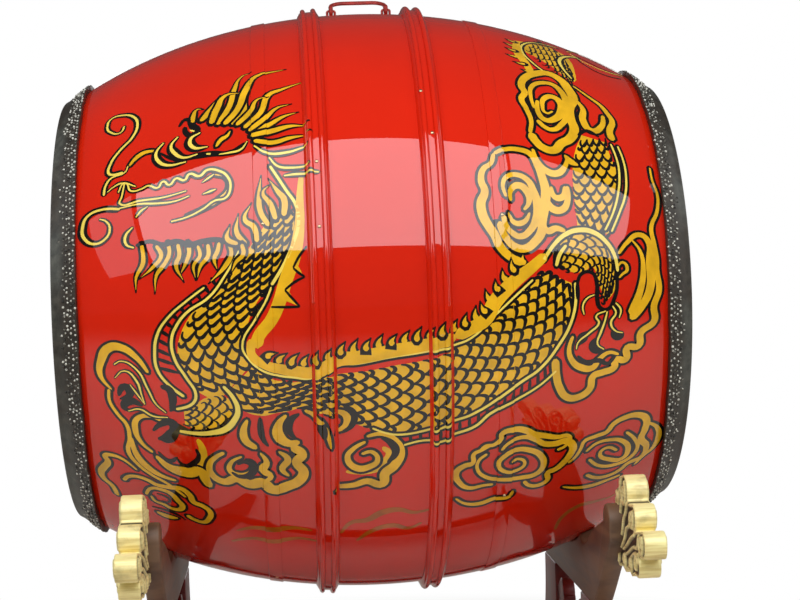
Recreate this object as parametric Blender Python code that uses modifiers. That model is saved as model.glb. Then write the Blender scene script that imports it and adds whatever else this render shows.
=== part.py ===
"""Temple drum lying on a carved stand, modelled piece by piece.

Metres, +Z up. The drum's axis lies along X and +Y is away from the viewer.
The origin is on the floor, below the middle of the drum.
"""

import bisect
import math

import bmesh
import bpy
from mathutils import Matrix, Vector

# Clearance between pieces that touch
GAP = 0.0003

# How far a cutter reaches past the face that it opens
CUT_MARGIN = 0.010

# Barrel
AXIS_HEIGHT = 0.86
SHELL_LENGTH = 1.108
BELLY_RADIUS = 0.552
END_RADIUS = 0.3947
WALL = 0.025
END_ROUNDING = 0.148        # share of the drop that follows the fourth power, near the ends
STAVES = 18
STAVE_STEPS = 12            # steps along a stave
STAVE_FACETS = 3            # facets across a stave

# Hide heads
HIDE_THICKNESS = 0.006
HIDE_SKIRT = 0.042          # length of the turned-down edge, along the drum's axis
HIDE_CORNER = 0.007

# Belly bands and flat hoops, set a little to the right of the middle
BANDS_SHIFT = 0.0033
BAND_SPACING = 0.0983
BAND_WIDTH = 0.042
BAND_HEIGHT = 0.010
BAND_TOP_WIDTH = 0.030
RIB_WIDTH = 0.010
RIB_HEIGHT = 0.006
HOOPS_SHIFT = 0.011
HOOP_SPACING = 0.202
HOOP_WIDTH = 0.0255
HOOP_THICKNESS = 0.0016

# Bail handle and its staples
BAIL_ROD = 0.008            # rod diameter
BAIL_SPAN = 0.107           # between the middles of its two eyes
BAIL_REACH = 0.055          # from the hinge axis to the grip
BAIL_CORNER = 0.026
BAIL_LEAN = 23.0            # degrees above the horizontal, where it rests leaning back
BAIL_X = 0.0055             # middle of the handle
EYE_PLAY = 0.0008
STAPLE_WIRE = 0.005
STAPLE_WIDTH = 0.015        # between the middles of its two legs
STAPLE_TAIL = 0.007         # what stands out below the clinch plate
PLATE_LENGTH = 0.032
PLATE_WIDTH = 0.018
PLATE_THICKNESS = 0.002

# Stand; heights of the boards and horns are measured from the drum's axis
BOARD_INSET = 0.174         # from the shell's end to the inner face of each end frame
BOARD_THICKNESS = 0.034
BOARD_BOTTOM = -0.560
BOARD_FLAT_HALF = 0.315     # half of the level part of the lower edge
BOARD_SWEEP = 0.142         # rise of the lower edge at each end
BOARD_END_Y = 0.510
BOARD_TIP = -0.355
BOARD_TIP_RADIUS = 0.033
HORN_THICKNESS = 0.037
HORN_REBATE = 0.012         # how deep the cradle board is let into the horn
DOWEL_DIAMETER = 0.012
DOWEL_PROUD = 0.0015
DOWEL_START = 0.006         # from the board's inner face to the dowel's inner end
LEG_INNER_Y = 0.165
LEG_TOP_WIDTH = 0.150
LEG_FOOT_WIDTH = 0.150
LEG_SPLAY = 0.155           # how far the foot stands out beyond the leg's top
LEG_TOE = 0.030             # height of the foot's upright outer edge
LEG_HEEL = 0.020            # the same on its inner side
TENON_THICKNESS = 0.012
TENON_WIDTH = 0.080
TENON_HEIGHT = 0.040
TENON_ROOT = 0.010          # overlap by which a tenon is joined to its own piece
RAIL_DROP = 0.046           # from the cradle board's lower edge to the rail's top beside the legs
RAIL_DEPTH = 0.085
RAIL_THICKNESS = 0.024
RAIL_TENON = 0.040
RAIL_TENON_TOP = 0.015      # shoulder above the rail's tenon
RAIL_TENON_BOTTOM = 0.020   # shoulder below it
STRETCHER_Y = 0.300
STRETCHER_Z = 0.108         # middle of the stretcher, above the floor
STRETCHER_HEIGHT = 0.050
STRETCHER_DEPTH = 0.034
STRETCHER_SHOULDER = 0.007  # step between the stretcher's body and its tenon
STRETCHER_END = 0.046       # how far the tenon stands out of the leg
WEDGE_THICKNESS = 0.012
WEDGE_HEIGHT = 0.075
WEDGE_TOP = 0.022
WEDGE_BOTTOM = 0.014

# Sizes of the carved outlines, whose points are shares of them
HORN_SIZE = 0.200
HOLLOW_SIZE = 0.200
SCALLOP_SIZE = 0.100

# Values worked out from the sizes above
HALF_SHELL = SHELL_LENGTH / 2
STAVE_ANGLE = 2 * math.pi / STAVES
RING_STEPS = STAVES * STAVE_FACETS
BOARD_INNER_X = HALF_SHELL - BOARD_INSET
BOARD_OUTER_X = BOARD_INNER_X + BOARD_THICKNESS
HORN_INNER_X = BOARD_OUTER_X - HORN_REBATE
HORN_OUTER_X = HORN_INNER_X + HORN_THICKNESS
BAIL_FEET = (BAIL_X - BAIL_SPAN / 2, BAIL_X + BAIL_SPAN / 2)
EYE_RADIUS = STAPLE_WIRE / 2 + EYE_PLAY + BAIL_ROD / 2
HINGE_HEIGHT = AXIS_HEIGHT + BELLY_RADIUS + EYE_RADIUS + BAIL_ROD / 2 + GAP

COLOURS = {
    "red_lacquer": ((0.60, 0.035, 0.012), 0.18, 0.0),
    "hide": ((0.045, 0.038, 0.030), 0.75, 0.0),
    "red_iron": ((0.42, 0.035, 0.022), 0.35, 0.2),
    "bare_iron": ((0.16, 0.15, 0.14), 0.5, 0.8),
    "gilded_wood": ((0.78, 0.58, 0.22), 0.35, 0.1),
    "brown_wood": ((0.13, 0.055, 0.030), 0.4, 0.0),
    "red_wood": ((0.26, 0.022, 0.014), 0.35, 0.0),
}


def clear_scene():
    for obj in list(bpy.data.objects):
        bpy.data.objects.remove(obj, do_unlink=True)


def new_collection(name):
    collection = bpy.data.collections.new(name)
    bpy.context.scene.collection.children.link(collection)
    return collection


clear_scene()
PARTS = new_collection("temple_drum")
CUTTERS = new_collection("cutters")


def finish(name):
    """Principled material with one of the drum's finishes."""
    material = bpy.data.materials.get(name)
    if material is None:
        colour, roughness, metallic = COLOURS[name]
        material = bpy.data.materials.new(name)
        material.use_nodes = True
        shader = material.node_tree.nodes["Principled BSDF"]
        shader.inputs["Base Color"].default_value = (*colour, 1.0)
        shader.inputs["Roughness"].default_value = roughness
        shader.inputs["Metallic"].default_value = metallic
    return material


def add_object(name, data, matrix=None, material=None):
    """Link a part, or a cutter when it has no material."""
    obj = bpy.data.objects.new(name, data)
    (PARTS if material else CUTTERS).objects.link(obj)
    obj.matrix_world = matrix or Matrix.Identity(4)
    if material:
        data.materials.append(finish(material))
    else:
        obj.hide_render = True
        obj.display_type = "WIRE"
    return obj


def smooth(obj, angle=35.0):
    obj.data.shade_smooth()
    obj.data.set_sharp_from_angle(angle=math.radians(angle))
    return obj


def cut(obj, cutter, operation="DIFFERENCE"):
    modifier = obj.modifiers.new(cutter.name, "BOOLEAN")
    modifier.operation = operation
    modifier.solver = "EXACT"
    modifier.object = cutter
    return obj


# Barrel form

def curve_radius(x):
    """Outer radius of the shell on its true curve."""
    t = abs(x) / HALF_SHELL
    share = (1 - END_ROUNDING) * t ** 2 + END_ROUNDING * t ** 4
    return BELLY_RADIUS - (BELLY_RADIUS - END_RADIUS) * share


STATIONS = [HALF_SHELL * (2 * k / STAVE_STEPS - 1) for k in range(STAVE_STEPS + 1)]


def shell_radius(x):
    """Outer radius of the faceted shell, straight between the stations of a stave."""
    k = min(max(bisect.bisect_right(STATIONS, x) - 1, 0), STAVE_STEPS - 1)
    x0, x1 = STATIONS[k], STATIONS[k + 1]
    share = (x - x0) / (x1 - x0)
    return curve_radius(x0) * (1 - share) + curve_radius(x1) * share


def seat(x0, x1, lift):
    """Points along the shell from x0 to x1, with each station between, at a height above it."""
    inner = [x for x in STATIONS if min(x0, x1) + 1e-6 < x < max(x0, x1) - 1e-6]
    xs = [x0] + sorted(inner, reverse=x0 > x1) + [x1]
    return [(x, shell_radius(x) + lift) for x in xs]


# The turning axis becomes the drum's axis, and the first facet starts at the edge of a stave
TURNED = (Matrix.Translation((0, 0, AXIS_HEIGHT))
          @ Matrix.Rotation(math.pi / 2, 4, "Y")
          @ Matrix.Rotation(STAVE_ANGLE / 2, 4, "Z"))


def turned(name, points, material=None, closed=True):
    """Ring or cap turned about the drum's axis; points are (place along the axis, radius)."""
    following = points[1:] + points[:1]
    area = sum(r0 * x1 - r1 * x0 for (x0, r0), (x1, r1) in zip(points, following))
    if area > 0:
        points = points[::-1]
    count = len(points)
    edges = [(k, k + 1) for k in range(count - 1)]
    if closed:
        edges.append((count - 1, 0))
    mesh = bpy.data.meshes.new(name)
    mesh.from_pydata([(r, 0, x) for x, r in points], edges, [])
    obj = add_object(name, mesh, TURNED, material)
    screw = obj.modifiers.new("turn", "SCREW")
    screw.steps = RING_STEPS
    screw.render_steps = RING_STEPS
    screw.use_merge_vertices = True
    screw.merge_threshold = 0.00001
    screw.use_smooth_shade = True
    return obj


def stave(number):
    """One stave: a block bent to the barrel's curve, between two flat joint faces."""
    bm = bmesh.new()
    middle = STAVE_ANGLE * number + math.pi / 2
    rings = []
    for x in STATIONS:
        ring = []
        outer = shell_radius(x)
        for radius in (outer, outer - WALL):
            half = STAVE_ANGLE / 2 - GAP / 2 / radius
            steps = range(STAVE_FACETS + 1)
            row = [middle + half * (2 * k / STAVE_FACETS - 1) for k in steps]
            points = [Vector((x, radius * math.cos(a), AXIS_HEIGHT + radius * math.sin(a)))
                      for a in row]
            ring += points if radius == outer else points[::-1]
        rings.append([bm.verts.new(p) for p in ring])
    size = len(rings[0])
    for first, second in zip(rings, rings[1:]):
        for k in range(size):
            j = (k + 1) % size
            bm.faces.new((first[k], first[j], second[j], second[k]))
    for ring in (rings[0], rings[-1]):
        for k in range(STAVE_FACETS):
            bm.faces.new((ring[k], ring[k + 1], ring[size - 2 - k], ring[size - 1 - k]))
    bmesh.ops.recalc_face_normals(bm, faces=bm.faces)
    mesh = bpy.data.meshes.new(f"stave_{number + 1:02d}")
    bm.to_mesh(mesh)
    bm.free()
    return smooth(add_object(mesh.name, mesh, material="red_lacquer"))


def hide(side, name):
    """Skin across the drum's end, with its edge turned down over the staves."""
    end = HALF_SHELL + GAP
    face = end + HIDE_THICKNESS
    lift = GAP + HIDE_THICKNESS
    edge = HALF_SHELL - HIDE_SKIRT
    rim = shell_radius(HALF_SHELL)
    inner = seat(edge, HALF_SHELL, GAP)
    outer = seat(edge, HALF_SHELL - HIDE_CORNER, lift)
    points = [(face, 0.0), (face, rim - HIDE_CORNER), (face - HIDE_CORNER / 4, rim)]
    points += outer[::-1] + inner + [(end, rim + GAP), (end, 0.0)]
    return smooth(turned(name, [(side * x, r) for x, r in points], "hide", closed=False))


def belly_band(side, name):
    """Flat core with sloping sides, and two round ribs that sit on its shoulders."""
    middle = BANDS_SHIFT + side * BAND_SPACING
    half, top = BAND_WIDTH / 2, BAND_TOP_WIDTH / 2
    base = seat(middle - half, middle + half, GAP)
    crown = seat(middle + top, middle - top, GAP + BAND_HEIGHT)
    turned(f"{name}_core", base + crown, "red_lacquer")
    for place, label in ((-1, "left"), (1, "right")):
        centre = middle + place * (top - RIB_WIDTH / 2)
        rib = seat(centre - RIB_WIDTH / 2, centre + RIB_WIDTH / 2, 2 * GAP + BAND_HEIGHT)
        for degrees in (45, 90, 135):
            angle = math.radians(degrees)
            x = centre + RIB_WIDTH / 2 * math.cos(angle)
            height = 2 * GAP + BAND_HEIGHT + RIB_HEIGHT * math.sin(angle)
            rib.append((x, shell_radius(x) + height))
        turned(f"{name}_rib_{label}", rib, "red_lacquer")


def flat_hoop(side, name):
    middle = HOOPS_SHIFT + side * HOOP_SPACING
    edges = (middle - HOOP_WIDTH / 2, middle + HOOP_WIDTH / 2)
    inner = seat(*edges, GAP)
    outer = seat(*edges[::-1], GAP + HOOP_THICKNESS)
    turned(name, inner + outer, "red_lacquer")


# Rods, boards and blocks

def new_curve(name, dimensions, points, closed):
    """Curve of straight lines through a list of points."""
    curve = bpy.data.curves.new(name, "CURVE")
    curve.dimensions = dimensions
    spline = curve.splines.new("POLY")
    spline.points.add(len(points) - 1)
    for point, place in zip(spline.points, points):
        point.co = (*place, 1.0)
    spline.use_cyclic_u = closed
    return curve


def rod(name, points, diameter, material=None, sides=2):
    """Round rod along a list of points, with closed ends, as a mesh."""
    curve = new_curve(name, "3D", points, False)
    curve.bevel_depth = diameter / 2
    curve.bevel_resolution = sides
    curve.use_fill_caps = True
    return made_mesh(name, curve, Matrix.Identity(4), material)


def made_mesh(name, curve, matrix, material=None):
    """Turn a curve into a mesh part and weld its caps."""
    source = bpy.data.objects.new(name + "_curve", curve)
    CUTTERS.objects.link(source)
    bpy.context.view_layer.update()
    evaluated = source.evaluated_get(bpy.context.evaluated_depsgraph_get())
    mesh = bpy.data.meshes.new_from_object(evaluated)
    bpy.data.objects.remove(source, do_unlink=True)
    mesh.materials.clear()
    bm = bmesh.new()
    bm.from_mesh(mesh)
    bmesh.ops.remove_doubles(bm, verts=bm.verts, dist=0.00001)
    bmesh.ops.recalc_face_normals(bm, faces=bm.faces)
    bm.to_mesh(mesh)
    bm.free()
    return add_object(name, mesh, matrix, material)


# A board is drawn in its own XY plane, which becomes the YZ plane of the stand
BOARD_PLANE = Matrix(((0, 0, 1, 0), (1, 0, 0, 0), (0, 1, 0, AXIS_HEIGHT), (0, 0, 0, 1)))


def sawn(name, outline, thickness, matrix, material=None):
    """Flat piece sawn to an outline in its own XY plane, half its thickness to each side."""
    curve = new_curve(name, "2D", [(*point, 0.0) for point in outline], True)
    curve.fill_mode = "BOTH"
    curve.extrude = thickness / 2
    return made_mesh(name, curve, matrix, material)


def board(name, outline, inner_x, thickness, side, material=None):
    """Board sawn to an outline of (y, height from the axis), at one end of the stand."""
    place = Matrix.Translation((side * (inner_x + thickness / 2), 0, 0))
    return sawn(name, outline, thickness, place @ BOARD_PLANE, material)


def block(name, low, high, material=None):
    """Rectangular block between two corners."""
    bm = bmesh.new()
    bmesh.ops.create_cube(bm, size=1.0)
    size = Vector(high) - Vector(low)
    bmesh.ops.scale(bm, vec=size, verts=bm.verts)
    bmesh.ops.translate(bm, vec=(Vector(low) + Vector(high)) / 2, verts=bm.verts)
    mesh = bpy.data.meshes.new(name)
    bm.to_mesh(mesh)
    bm.free()
    return add_object(name, mesh, material=material)


def mirrored_block(name, low, high, mirror, material=None):
    """Block given for the right rear quarter of the stand, mirrored in X and Y by signs."""
    corners = [[corner[axis] * mirror[axis] for axis in range(2)] for corner in (low, high)]
    lows = [min(pair) for pair in zip(*corners)] + [low[2]]
    highs = [max(pair) for pair in zip(*corners)] + [high[2]]
    return block(name, lows, highs, material)


def arc(y, z, radius, first, last, steps):
    """Points of an arc, with its angles in degrees."""
    angles = [math.radians(first + (last - first) * k / steps) for k in range(steps + 1)]
    return [(y + radius * math.cos(a), z + radius * math.sin(a)) for a in angles]


# Handle

def staple(x, name):
    """Wire staple through the top stave, peened under a plate inside the shell."""
    wall_bottom = AXIS_HEIGHT + (shell_radius(x) - WALL) * math.cos(STAVE_ANGLE / STAVE_FACETS / 2)
    slope_drop = PLATE_LENGTH / 2 * abs(curve_radius(STATIONS[STAVE_STEPS // 2 + 1])
                                        - BELLY_RADIUS) / (SHELL_LENGTH / STAVE_STEPS)
    plate_top = wall_bottom - slope_drop - GAP
    tail = plate_top - PLATE_THICKNESS - STAPLE_TAIL
    legs = (x - STAPLE_WIDTH / 2, x + STAPLE_WIDTH / 2)
    corner = STAPLE_WIRE / 2
    crown = HINGE_HEIGHT
    bend = corner / 3
    left = [(legs[0], 0, tail), (legs[0], 0, crown - corner), (legs[0] + bend, 0, crown - bend),
            (legs[0] + corner, 0, crown)]
    right = [(legs[1] - corner, 0, crown), (legs[1] - bend, 0, crown - bend),
             (legs[1], 0, crown - corner), (legs[1], 0, tail)]
    smooth(rod(f"handle_staple_{name}", left + right, STAPLE_WIRE, "red_iron"))
    plate = block(f"clinch_plate_{name}",
                  (x - PLATE_LENGTH / 2, -PLATE_WIDTH / 2, plate_top - PLATE_THICKNESS),
                  (x + PLATE_LENGTH / 2, PLATE_WIDTH / 2, plate_top), "bare_iron")
    top_stave = bpy.data.objects["stave_01"]
    for number, leg in enumerate(legs):
        hole = rod(f"cut_staple_{name}_{number}", [(leg, 0, tail), (leg, 0, crown)],
                   STAPLE_WIRE + 4 * GAP)
        cut(top_stave, hole)
        cut(plate, hole)


def bail():
    """Iron bail with an eye around each staple, leaning back at rest."""
    start = math.radians(60)
    turns = 10
    spread = math.radians(290)
    lean = math.radians(BAIL_LEAN)

    def place(x, reach, rise):
        y = reach * math.cos(lean) - rise * math.sin(lean)
        z = reach * math.sin(lean) + rise * math.cos(lean)
        return (x, y, z)

    def eye(x):
        angles = [start + spread * k / turns for k in range(turns + 1)]
        return [place(x, EYE_RADIUS * math.cos(a), EYE_RADIUS * math.sin(a)) for a in angles]

    def bend(x, direction):
        points = []
        for k in range(7):
            a = math.pi / 2 * k / 6
            across = BAIL_CORNER * (1 - math.cos(a))
            reach = BAIL_REACH - BAIL_CORNER * (1 - math.sin(a))
            points.append(place(x + direction * across, reach, 0))
        return points

    left, right = BAIL_FEET
    points = eye(left) + bend(left, 1) + bend(right, -1)[::-1] + eye(right)[::-1]
    obj = smooth(rod("handle_bail", points, BAIL_ROD, "red_iron", sides=2), 50)
    obj.location = (0, 0, HINGE_HEIGHT)


# Stand

def from_tip(size, points):
    """Points given in shares of a size from the end of the cradle board, at its tip's height."""
    return [(BOARD_END_Y + size * y, BOARD_TIP + size * z) for y, z in points]


def cradle_outline():
    """Cradle board: level below, swept up to a rounded tip at each end, and hollow behind it."""
    half = [(BOARD_FLAT_HALF, BOARD_BOTTOM)]
    for k in range(1, 7):
        t = k / 6
        half.append((BOARD_FLAT_HALF + (BOARD_END_Y - BOARD_FLAT_HALF) * t,
                     BOARD_BOTTOM + BOARD_SWEEP * t ** 1.05))
    half += arc(BOARD_END_Y - BOARD_TIP_RADIUS, BOARD_TIP - BOARD_TIP_RADIUS, BOARD_TIP_RADIUS, 0, 160, 6)
    half += from_tip(HOLLOW_SIZE, [(-0.315, -0.155), (-0.425, -0.19), (-0.75, -0.275), (-1.05, -0.38),
                                   (-1.30, -0.50), (-1.525, -0.54), (-1.675, -0.485), (-1.75, -0.375)])
    return half + [(-y, z) for y, z in half[::-1]]


def horn_outline():
    """Cloud scroll: two locks on top, four lobes down the outer edge and leaves below."""
    points = arc(-0.19, 0.03, 0.10, 175, 45, 5)
    points += arc(-0.03, 0.165, 0.085, 190, 80, 4)
    points += arc(0.125, 0.125, 0.15, 95, -15, 7)
    points += [(0.30, 0.055)]
    points += arc(0.48, -0.05, 0.125, 115, -35, 7)
    points += [(0.50, -0.155)]
    points += arc(0.88, -0.215, 0.12, 110, -60, 7)
    points += [(0.745, -0.335)]
    points += arc(0.64, -0.42, 0.095, 50, -90, 6)
    points += [(0.50, -0.51), (0.375, -0.545), (0.225, -0.495), (0.10, -0.555), (-0.05, -0.52),
               (-0.20, -0.55), (-0.335, -0.485), (-0.41, -0.42), (-0.37, -0.30), (-0.29, -0.215),
               (-0.27, -0.10)]
    return from_tip(HORN_SIZE, points)


def dowel_seats():
    """Where the two dowels of a horn go through it, as (y, height from the axis)."""
    return from_tip(HORN_SIZE, [(-0.14, -0.25), (-0.29, -0.385)])


def leg_outline():
    """Leg: straight inner edge, outer edge curved out to a broad foot, tenon on top."""
    top = BOARD_BOTTOM - GAP
    floor = -AXIS_HEIGHT
    outer = LEG_INNER_Y + LEG_TOP_WIDTH
    foot_outer = outer + LEG_SPLAY
    foot_inner = foot_outer - LEG_FOOT_WIDTH
    points = [(outer, top)]
    for k in range(1, 8):
        t = k / 8
        points.append((outer + LEG_SPLAY * t ** 2.2, top + (floor + LEG_TOE - top) * t))
    points += [(foot_outer, floor + LEG_TOE), (foot_outer, floor), (foot_inner, floor),
               (foot_inner, floor + LEG_HEEL)]
    straight = 0.45
    for k in range(7, 0, -1):
        t = k / 8
        shift = (foot_inner - LEG_INNER_Y) * max(0.0, (t - straight) / (1 - straight)) ** 1.6
        points.append((LEG_INNER_Y + shift, top + (floor + LEG_HEEL - top) * t))
    points.append((LEG_INNER_Y, top))
    return points


def tenon_corners():
    """Corners of a leg's tenon, for the right rear leg."""
    x = BOARD_INNER_X + BOARD_THICKNESS / 2
    y = LEG_INNER_Y + LEG_TOP_WIDTH / 2
    bottom = AXIS_HEIGHT + BOARD_BOTTOM
    low = (x - TENON_THICKNESS / 2, y - TENON_WIDTH / 2, bottom - TENON_ROOT)
    high = (x + TENON_THICKNESS / 2, y + TENON_WIDTH / 2, bottom + TENON_HEIGHT)
    return low, high


def grown(low, high, margin):
    return tuple(v - margin for v in low), tuple(v + margin for v in high)


def rail_outline(reach):
    """Lower rail: scalloped top, highest beside the legs, with a tenon at each end."""
    top = BOARD_BOTTOM - RAIL_DROP
    bottom = top - RAIL_DEPTH
    tenon_low, tenon_high = bottom + RAIL_TENON_BOTTOM, top - RAIL_TENON_TOP
    shoulder = LEG_INNER_Y - GAP
    size = SCALLOP_SIZE
    half = [(reach, tenon_low), (reach, tenon_high), (shoulder, tenon_high), (shoulder, top)]
    half += arc(shoulder - 0.45 * size, top - 0.08 * size, 0.30 * size, 60, 180, 6)
    half += arc(shoulder - 1.15 * size, top - 0.10 * size, 0.35 * size, 0, -80, 5)
    half += [(0.30 * size, top - 0.20 * size), (0.0, top - 0.26 * size)]
    mirrored = [(-y, z) for y, z in half[:-1][::-1]]
    low = [(-reach, tenon_low), (-shoulder, tenon_low), (-shoulder, bottom),
           (shoulder, bottom), (shoulder, tenon_low)]
    return half + mirrored[:-1] + low


def end_frame(side, name):
    """Cradle board, two horns, two legs and a lower rail, with their dowels."""
    barrel_cut = turned(f"cut_barrel_{name}", barrel_seat(side))
    cradle = board(f"cradle_board_{name}", cradle_outline(), BOARD_INNER_X, BOARD_THICKNESS, side,
                   "brown_wood")
    cut(cradle, barrel_cut)
    rail_inner = BOARD_INNER_X + (BOARD_THICKNESS - RAIL_THICKNESS) / 2
    rail = board(f"lower_rail_{name}", rail_outline(LEG_INNER_Y + RAIL_TENON), rail_inner,
                 RAIL_THICKNESS, side, "red_wood")
    smooth(rail)
    rail_hole = board(f"cut_rail_{name}", rail_slot(), rail_inner - GAP, RAIL_THICKNESS + 2 * GAP, side)
    for depth, label in ((-1, "front"), (1, "rear")):
        mirror = (side, depth)
        place = f"{name}_{label}"
        outline = [(depth * y, z) for y, z in horn_outline()]
        horn = board(f"horn_{place}", outline, HORN_INNER_X, HORN_THICKNESS, side, "gilded_wood")
        low = (BOARD_INNER_X, BOARD_END_Y - 1.25 * HORN_SIZE, AXIS_HEIGHT + BOARD_BOTTOM - HORN_SIZE / 2)
        high = (BOARD_OUTER_X + GAP, BOARD_END_Y + GAP, AXIS_HEIGHT)
        cut(horn, mirrored_block(f"cut_rebate_{place}", low, high, mirror))
        for number, (y, z) in enumerate(dowel_seats(), 1):
            spot = (depth * y, AXIS_HEIGHT + z)
            first, last = BOARD_INNER_X + DOWEL_START, HORN_OUTER_X + DOWEL_PROUD
            ends = [(side * first, *spot), (side * last, *spot)]
            smooth(rod(f"horn_dowel_{place}_{number}", ends, DOWEL_DIAMETER, "brown_wood"))
            ends = [(side * (first - GAP), *spot), (side * (HORN_OUTER_X + CUT_MARGIN), *spot)]
            hole = rod(f"cut_dowel_{place}_{number}", ends, DOWEL_DIAMETER + 2 * GAP)
            cut(cradle, hole)
            cut(horn, hole)
        smooth(horn)
        outline = [(depth * y, z) for y, z in leg_outline()]
        leg = board(f"leg_{place}", outline, BOARD_INNER_X, BOARD_THICKNESS, side, "red_wood")
        low, high = tenon_corners()
        cut(leg, mirrored_block(f"add_tenon_{place}", low, high, mirror), "UNION")
        mortise_low, mortise_high = grown(low, high, GAP)
        cut(cradle, mirrored_block(f"cut_mortise_{place}", mortise_low, mortise_high, mirror))
        cut(leg, rail_hole)
        low, high = stretcher_tenon()
        hole_low, hole_high = grown(low, high, GAP)
        cut(leg, mirrored_block(f"cut_stretcher_{place}", hole_low, hole_high, mirror))
        smooth(leg)
    smooth(cradle)


def rail_slot():
    """Outline of the long slot that takes both of a rail's tenons."""
    reach = LEG_INNER_Y + RAIL_TENON + GAP
    top = BOARD_BOTTOM - RAIL_DROP
    low, high = top - RAIL_DEPTH + RAIL_TENON_BOTTOM - GAP, top - RAIL_TENON_TOP + GAP
    return [(reach, low), (reach, high), (-reach, high), (-reach, low)]


def barrel_seat(side):
    """Form that hollows the cradle boards: the shell with its clearance, past both faces."""
    first, last = BOARD_INNER_X - CUT_MARGIN, BOARD_OUTER_X + CUT_MARGIN
    inner = END_RADIUS / 4
    points = seat(first, last, GAP) + [(last, inner), (first, inner)]
    return [(side * x, r) for x, r in points]


def stretcher_tenon():
    """Corners of the stretcher's tenon, for the right rear leg."""
    half_y = STRETCHER_DEPTH / 2 - STRETCHER_SHOULDER
    half_z = STRETCHER_HEIGHT / 2 - STRETCHER_SHOULDER
    low = (BOARD_INNER_X - TENON_ROOT, STRETCHER_Y - half_y, STRETCHER_Z - half_z)
    high = (BOARD_OUTER_X + STRETCHER_END, STRETCHER_Y + half_y, STRETCHER_Z + half_z)
    return low, high


def stretcher(depth, name):
    """Long rail between the end frames, with a wedged tenon through a leg at each end."""
    y, z = depth * STRETCHER_Y, STRETCHER_Z
    half = Vector((BOARD_INNER_X - GAP, STRETCHER_DEPTH / 2, STRETCHER_HEIGHT / 2))
    middle = Vector((0, y, z))
    body = block(f"stretcher_{name}", middle - half, middle + half, "red_wood")
    low, high = stretcher_tenon()
    for side, label in ((-1, "left"), (1, "right")):
        mirror = (side, depth)
        cut(body, mirrored_block(f"add_stretcher_{label}_{name}", low, high, mirror), "UNION")
        slot_x = BOARD_OUTER_X + GAP
        outline = [(0, WEDGE_HEIGHT / 2), (WEDGE_TOP, WEDGE_HEIGHT / 2),
                   (WEDGE_BOTTOM, -WEDGE_HEIGHT / 2), (0, -WEDGE_HEIGHT / 2)]
        plane = Matrix(((side, 0, 0, side * slot_x), (0, 0, -side, y), (0, 1, 0, z), (0, 0, 0, 1)))
        sawn(f"wedge_{label}_{name}", outline, WEDGE_THICKNESS, plane, "brown_wood")
        wider = [(px - GAP if px == 0 else px + GAP, pz) for px, pz in outline]
        cut(body, sawn(f"cut_wedge_{label}_{name}", wider, WEDGE_THICKNESS + 2 * GAP, plane))


for index in range(STAVES):
    stave(index)
for drum_side, drum_name in ((-1, "left"), (1, "right")):
    hide(drum_side, f"hide_{drum_name}")
    belly_band(drum_side, f"belly_band_{drum_name}")
    flat_hoop(drum_side, f"flat_hoop_{drum_name}")
for foot, foot_name in zip(BAIL_FEET, ("left", "right")):
    staple(foot, foot_name)
bail()
for stand_side, stand_name in ((-1, "left"), (1, "right")):
    end_frame(stand_side, stand_name)
for stand_depth, depth_name in ((-1, "front"), (1, "rear")):
    stretcher(stand_depth, depth_name)
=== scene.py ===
"""Looks of the temple drum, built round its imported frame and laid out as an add-on."""

import math
import random

import bpy
import numpy as np
from bpy.props import FloatProperty, FloatVectorProperty, IntProperty, PointerProperty
from mathutils import Matrix, Vector


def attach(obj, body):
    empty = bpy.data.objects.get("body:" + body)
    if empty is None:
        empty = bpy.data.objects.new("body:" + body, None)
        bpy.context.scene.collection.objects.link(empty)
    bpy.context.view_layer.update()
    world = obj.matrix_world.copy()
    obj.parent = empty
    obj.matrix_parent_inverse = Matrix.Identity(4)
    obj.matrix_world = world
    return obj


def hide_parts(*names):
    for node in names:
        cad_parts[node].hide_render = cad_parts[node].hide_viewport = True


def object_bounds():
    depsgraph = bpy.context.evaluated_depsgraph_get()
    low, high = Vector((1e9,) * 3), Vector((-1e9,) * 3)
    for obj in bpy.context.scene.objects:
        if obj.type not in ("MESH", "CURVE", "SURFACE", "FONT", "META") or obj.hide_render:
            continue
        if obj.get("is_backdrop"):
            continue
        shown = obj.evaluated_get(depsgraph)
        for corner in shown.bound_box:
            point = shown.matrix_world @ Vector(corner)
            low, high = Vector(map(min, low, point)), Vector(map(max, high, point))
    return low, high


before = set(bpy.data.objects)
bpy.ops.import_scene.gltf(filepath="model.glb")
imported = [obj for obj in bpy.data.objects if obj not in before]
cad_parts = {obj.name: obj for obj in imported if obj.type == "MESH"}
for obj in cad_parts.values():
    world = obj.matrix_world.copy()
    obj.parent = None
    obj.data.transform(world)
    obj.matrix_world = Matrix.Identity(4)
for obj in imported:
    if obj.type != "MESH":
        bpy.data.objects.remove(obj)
CAD_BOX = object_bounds()

bl_info = {
    "name": "Temple Drum",
    "version": (1, 0, 0),
    "blender": (4, 5, 0),
    "location": "3D View > Sidebar > Temple Drum",
    "description": "Models the lacquered barrel, its painting, the hide heads and the stand",
    "category": "Object",
}

AXIS = Vector((0.0, 0.0, 0.86))
SIDES = (("left", -1), ("right", 1))
DEPTHS = (("front", -1), ("rear", 1))
ROUND = 2 * math.pi

# The camera's place from the middle of the drum, its turns in degrees and its focal length
# in pixels of a frame 800 wide
CAMERA_OFFSET = (-0.1537, -3.6337, 0.0739)
CAMERA_YAW, CAMERA_PITCH, CAMERA_ROLL = -3.491, -1.217, 1.932
FOCAL_PIXELS, FRAME_PIXELS = 1858.5, 800
SENSOR_WIDTH = 36.0

FLOOR_SIZE = 60.0
# Distances from the middle between which the floor fades to the white of the backdrop
FLOOR_FADE = (0.75, 1.6)
WORLD_LIGHT = 0.09
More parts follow.
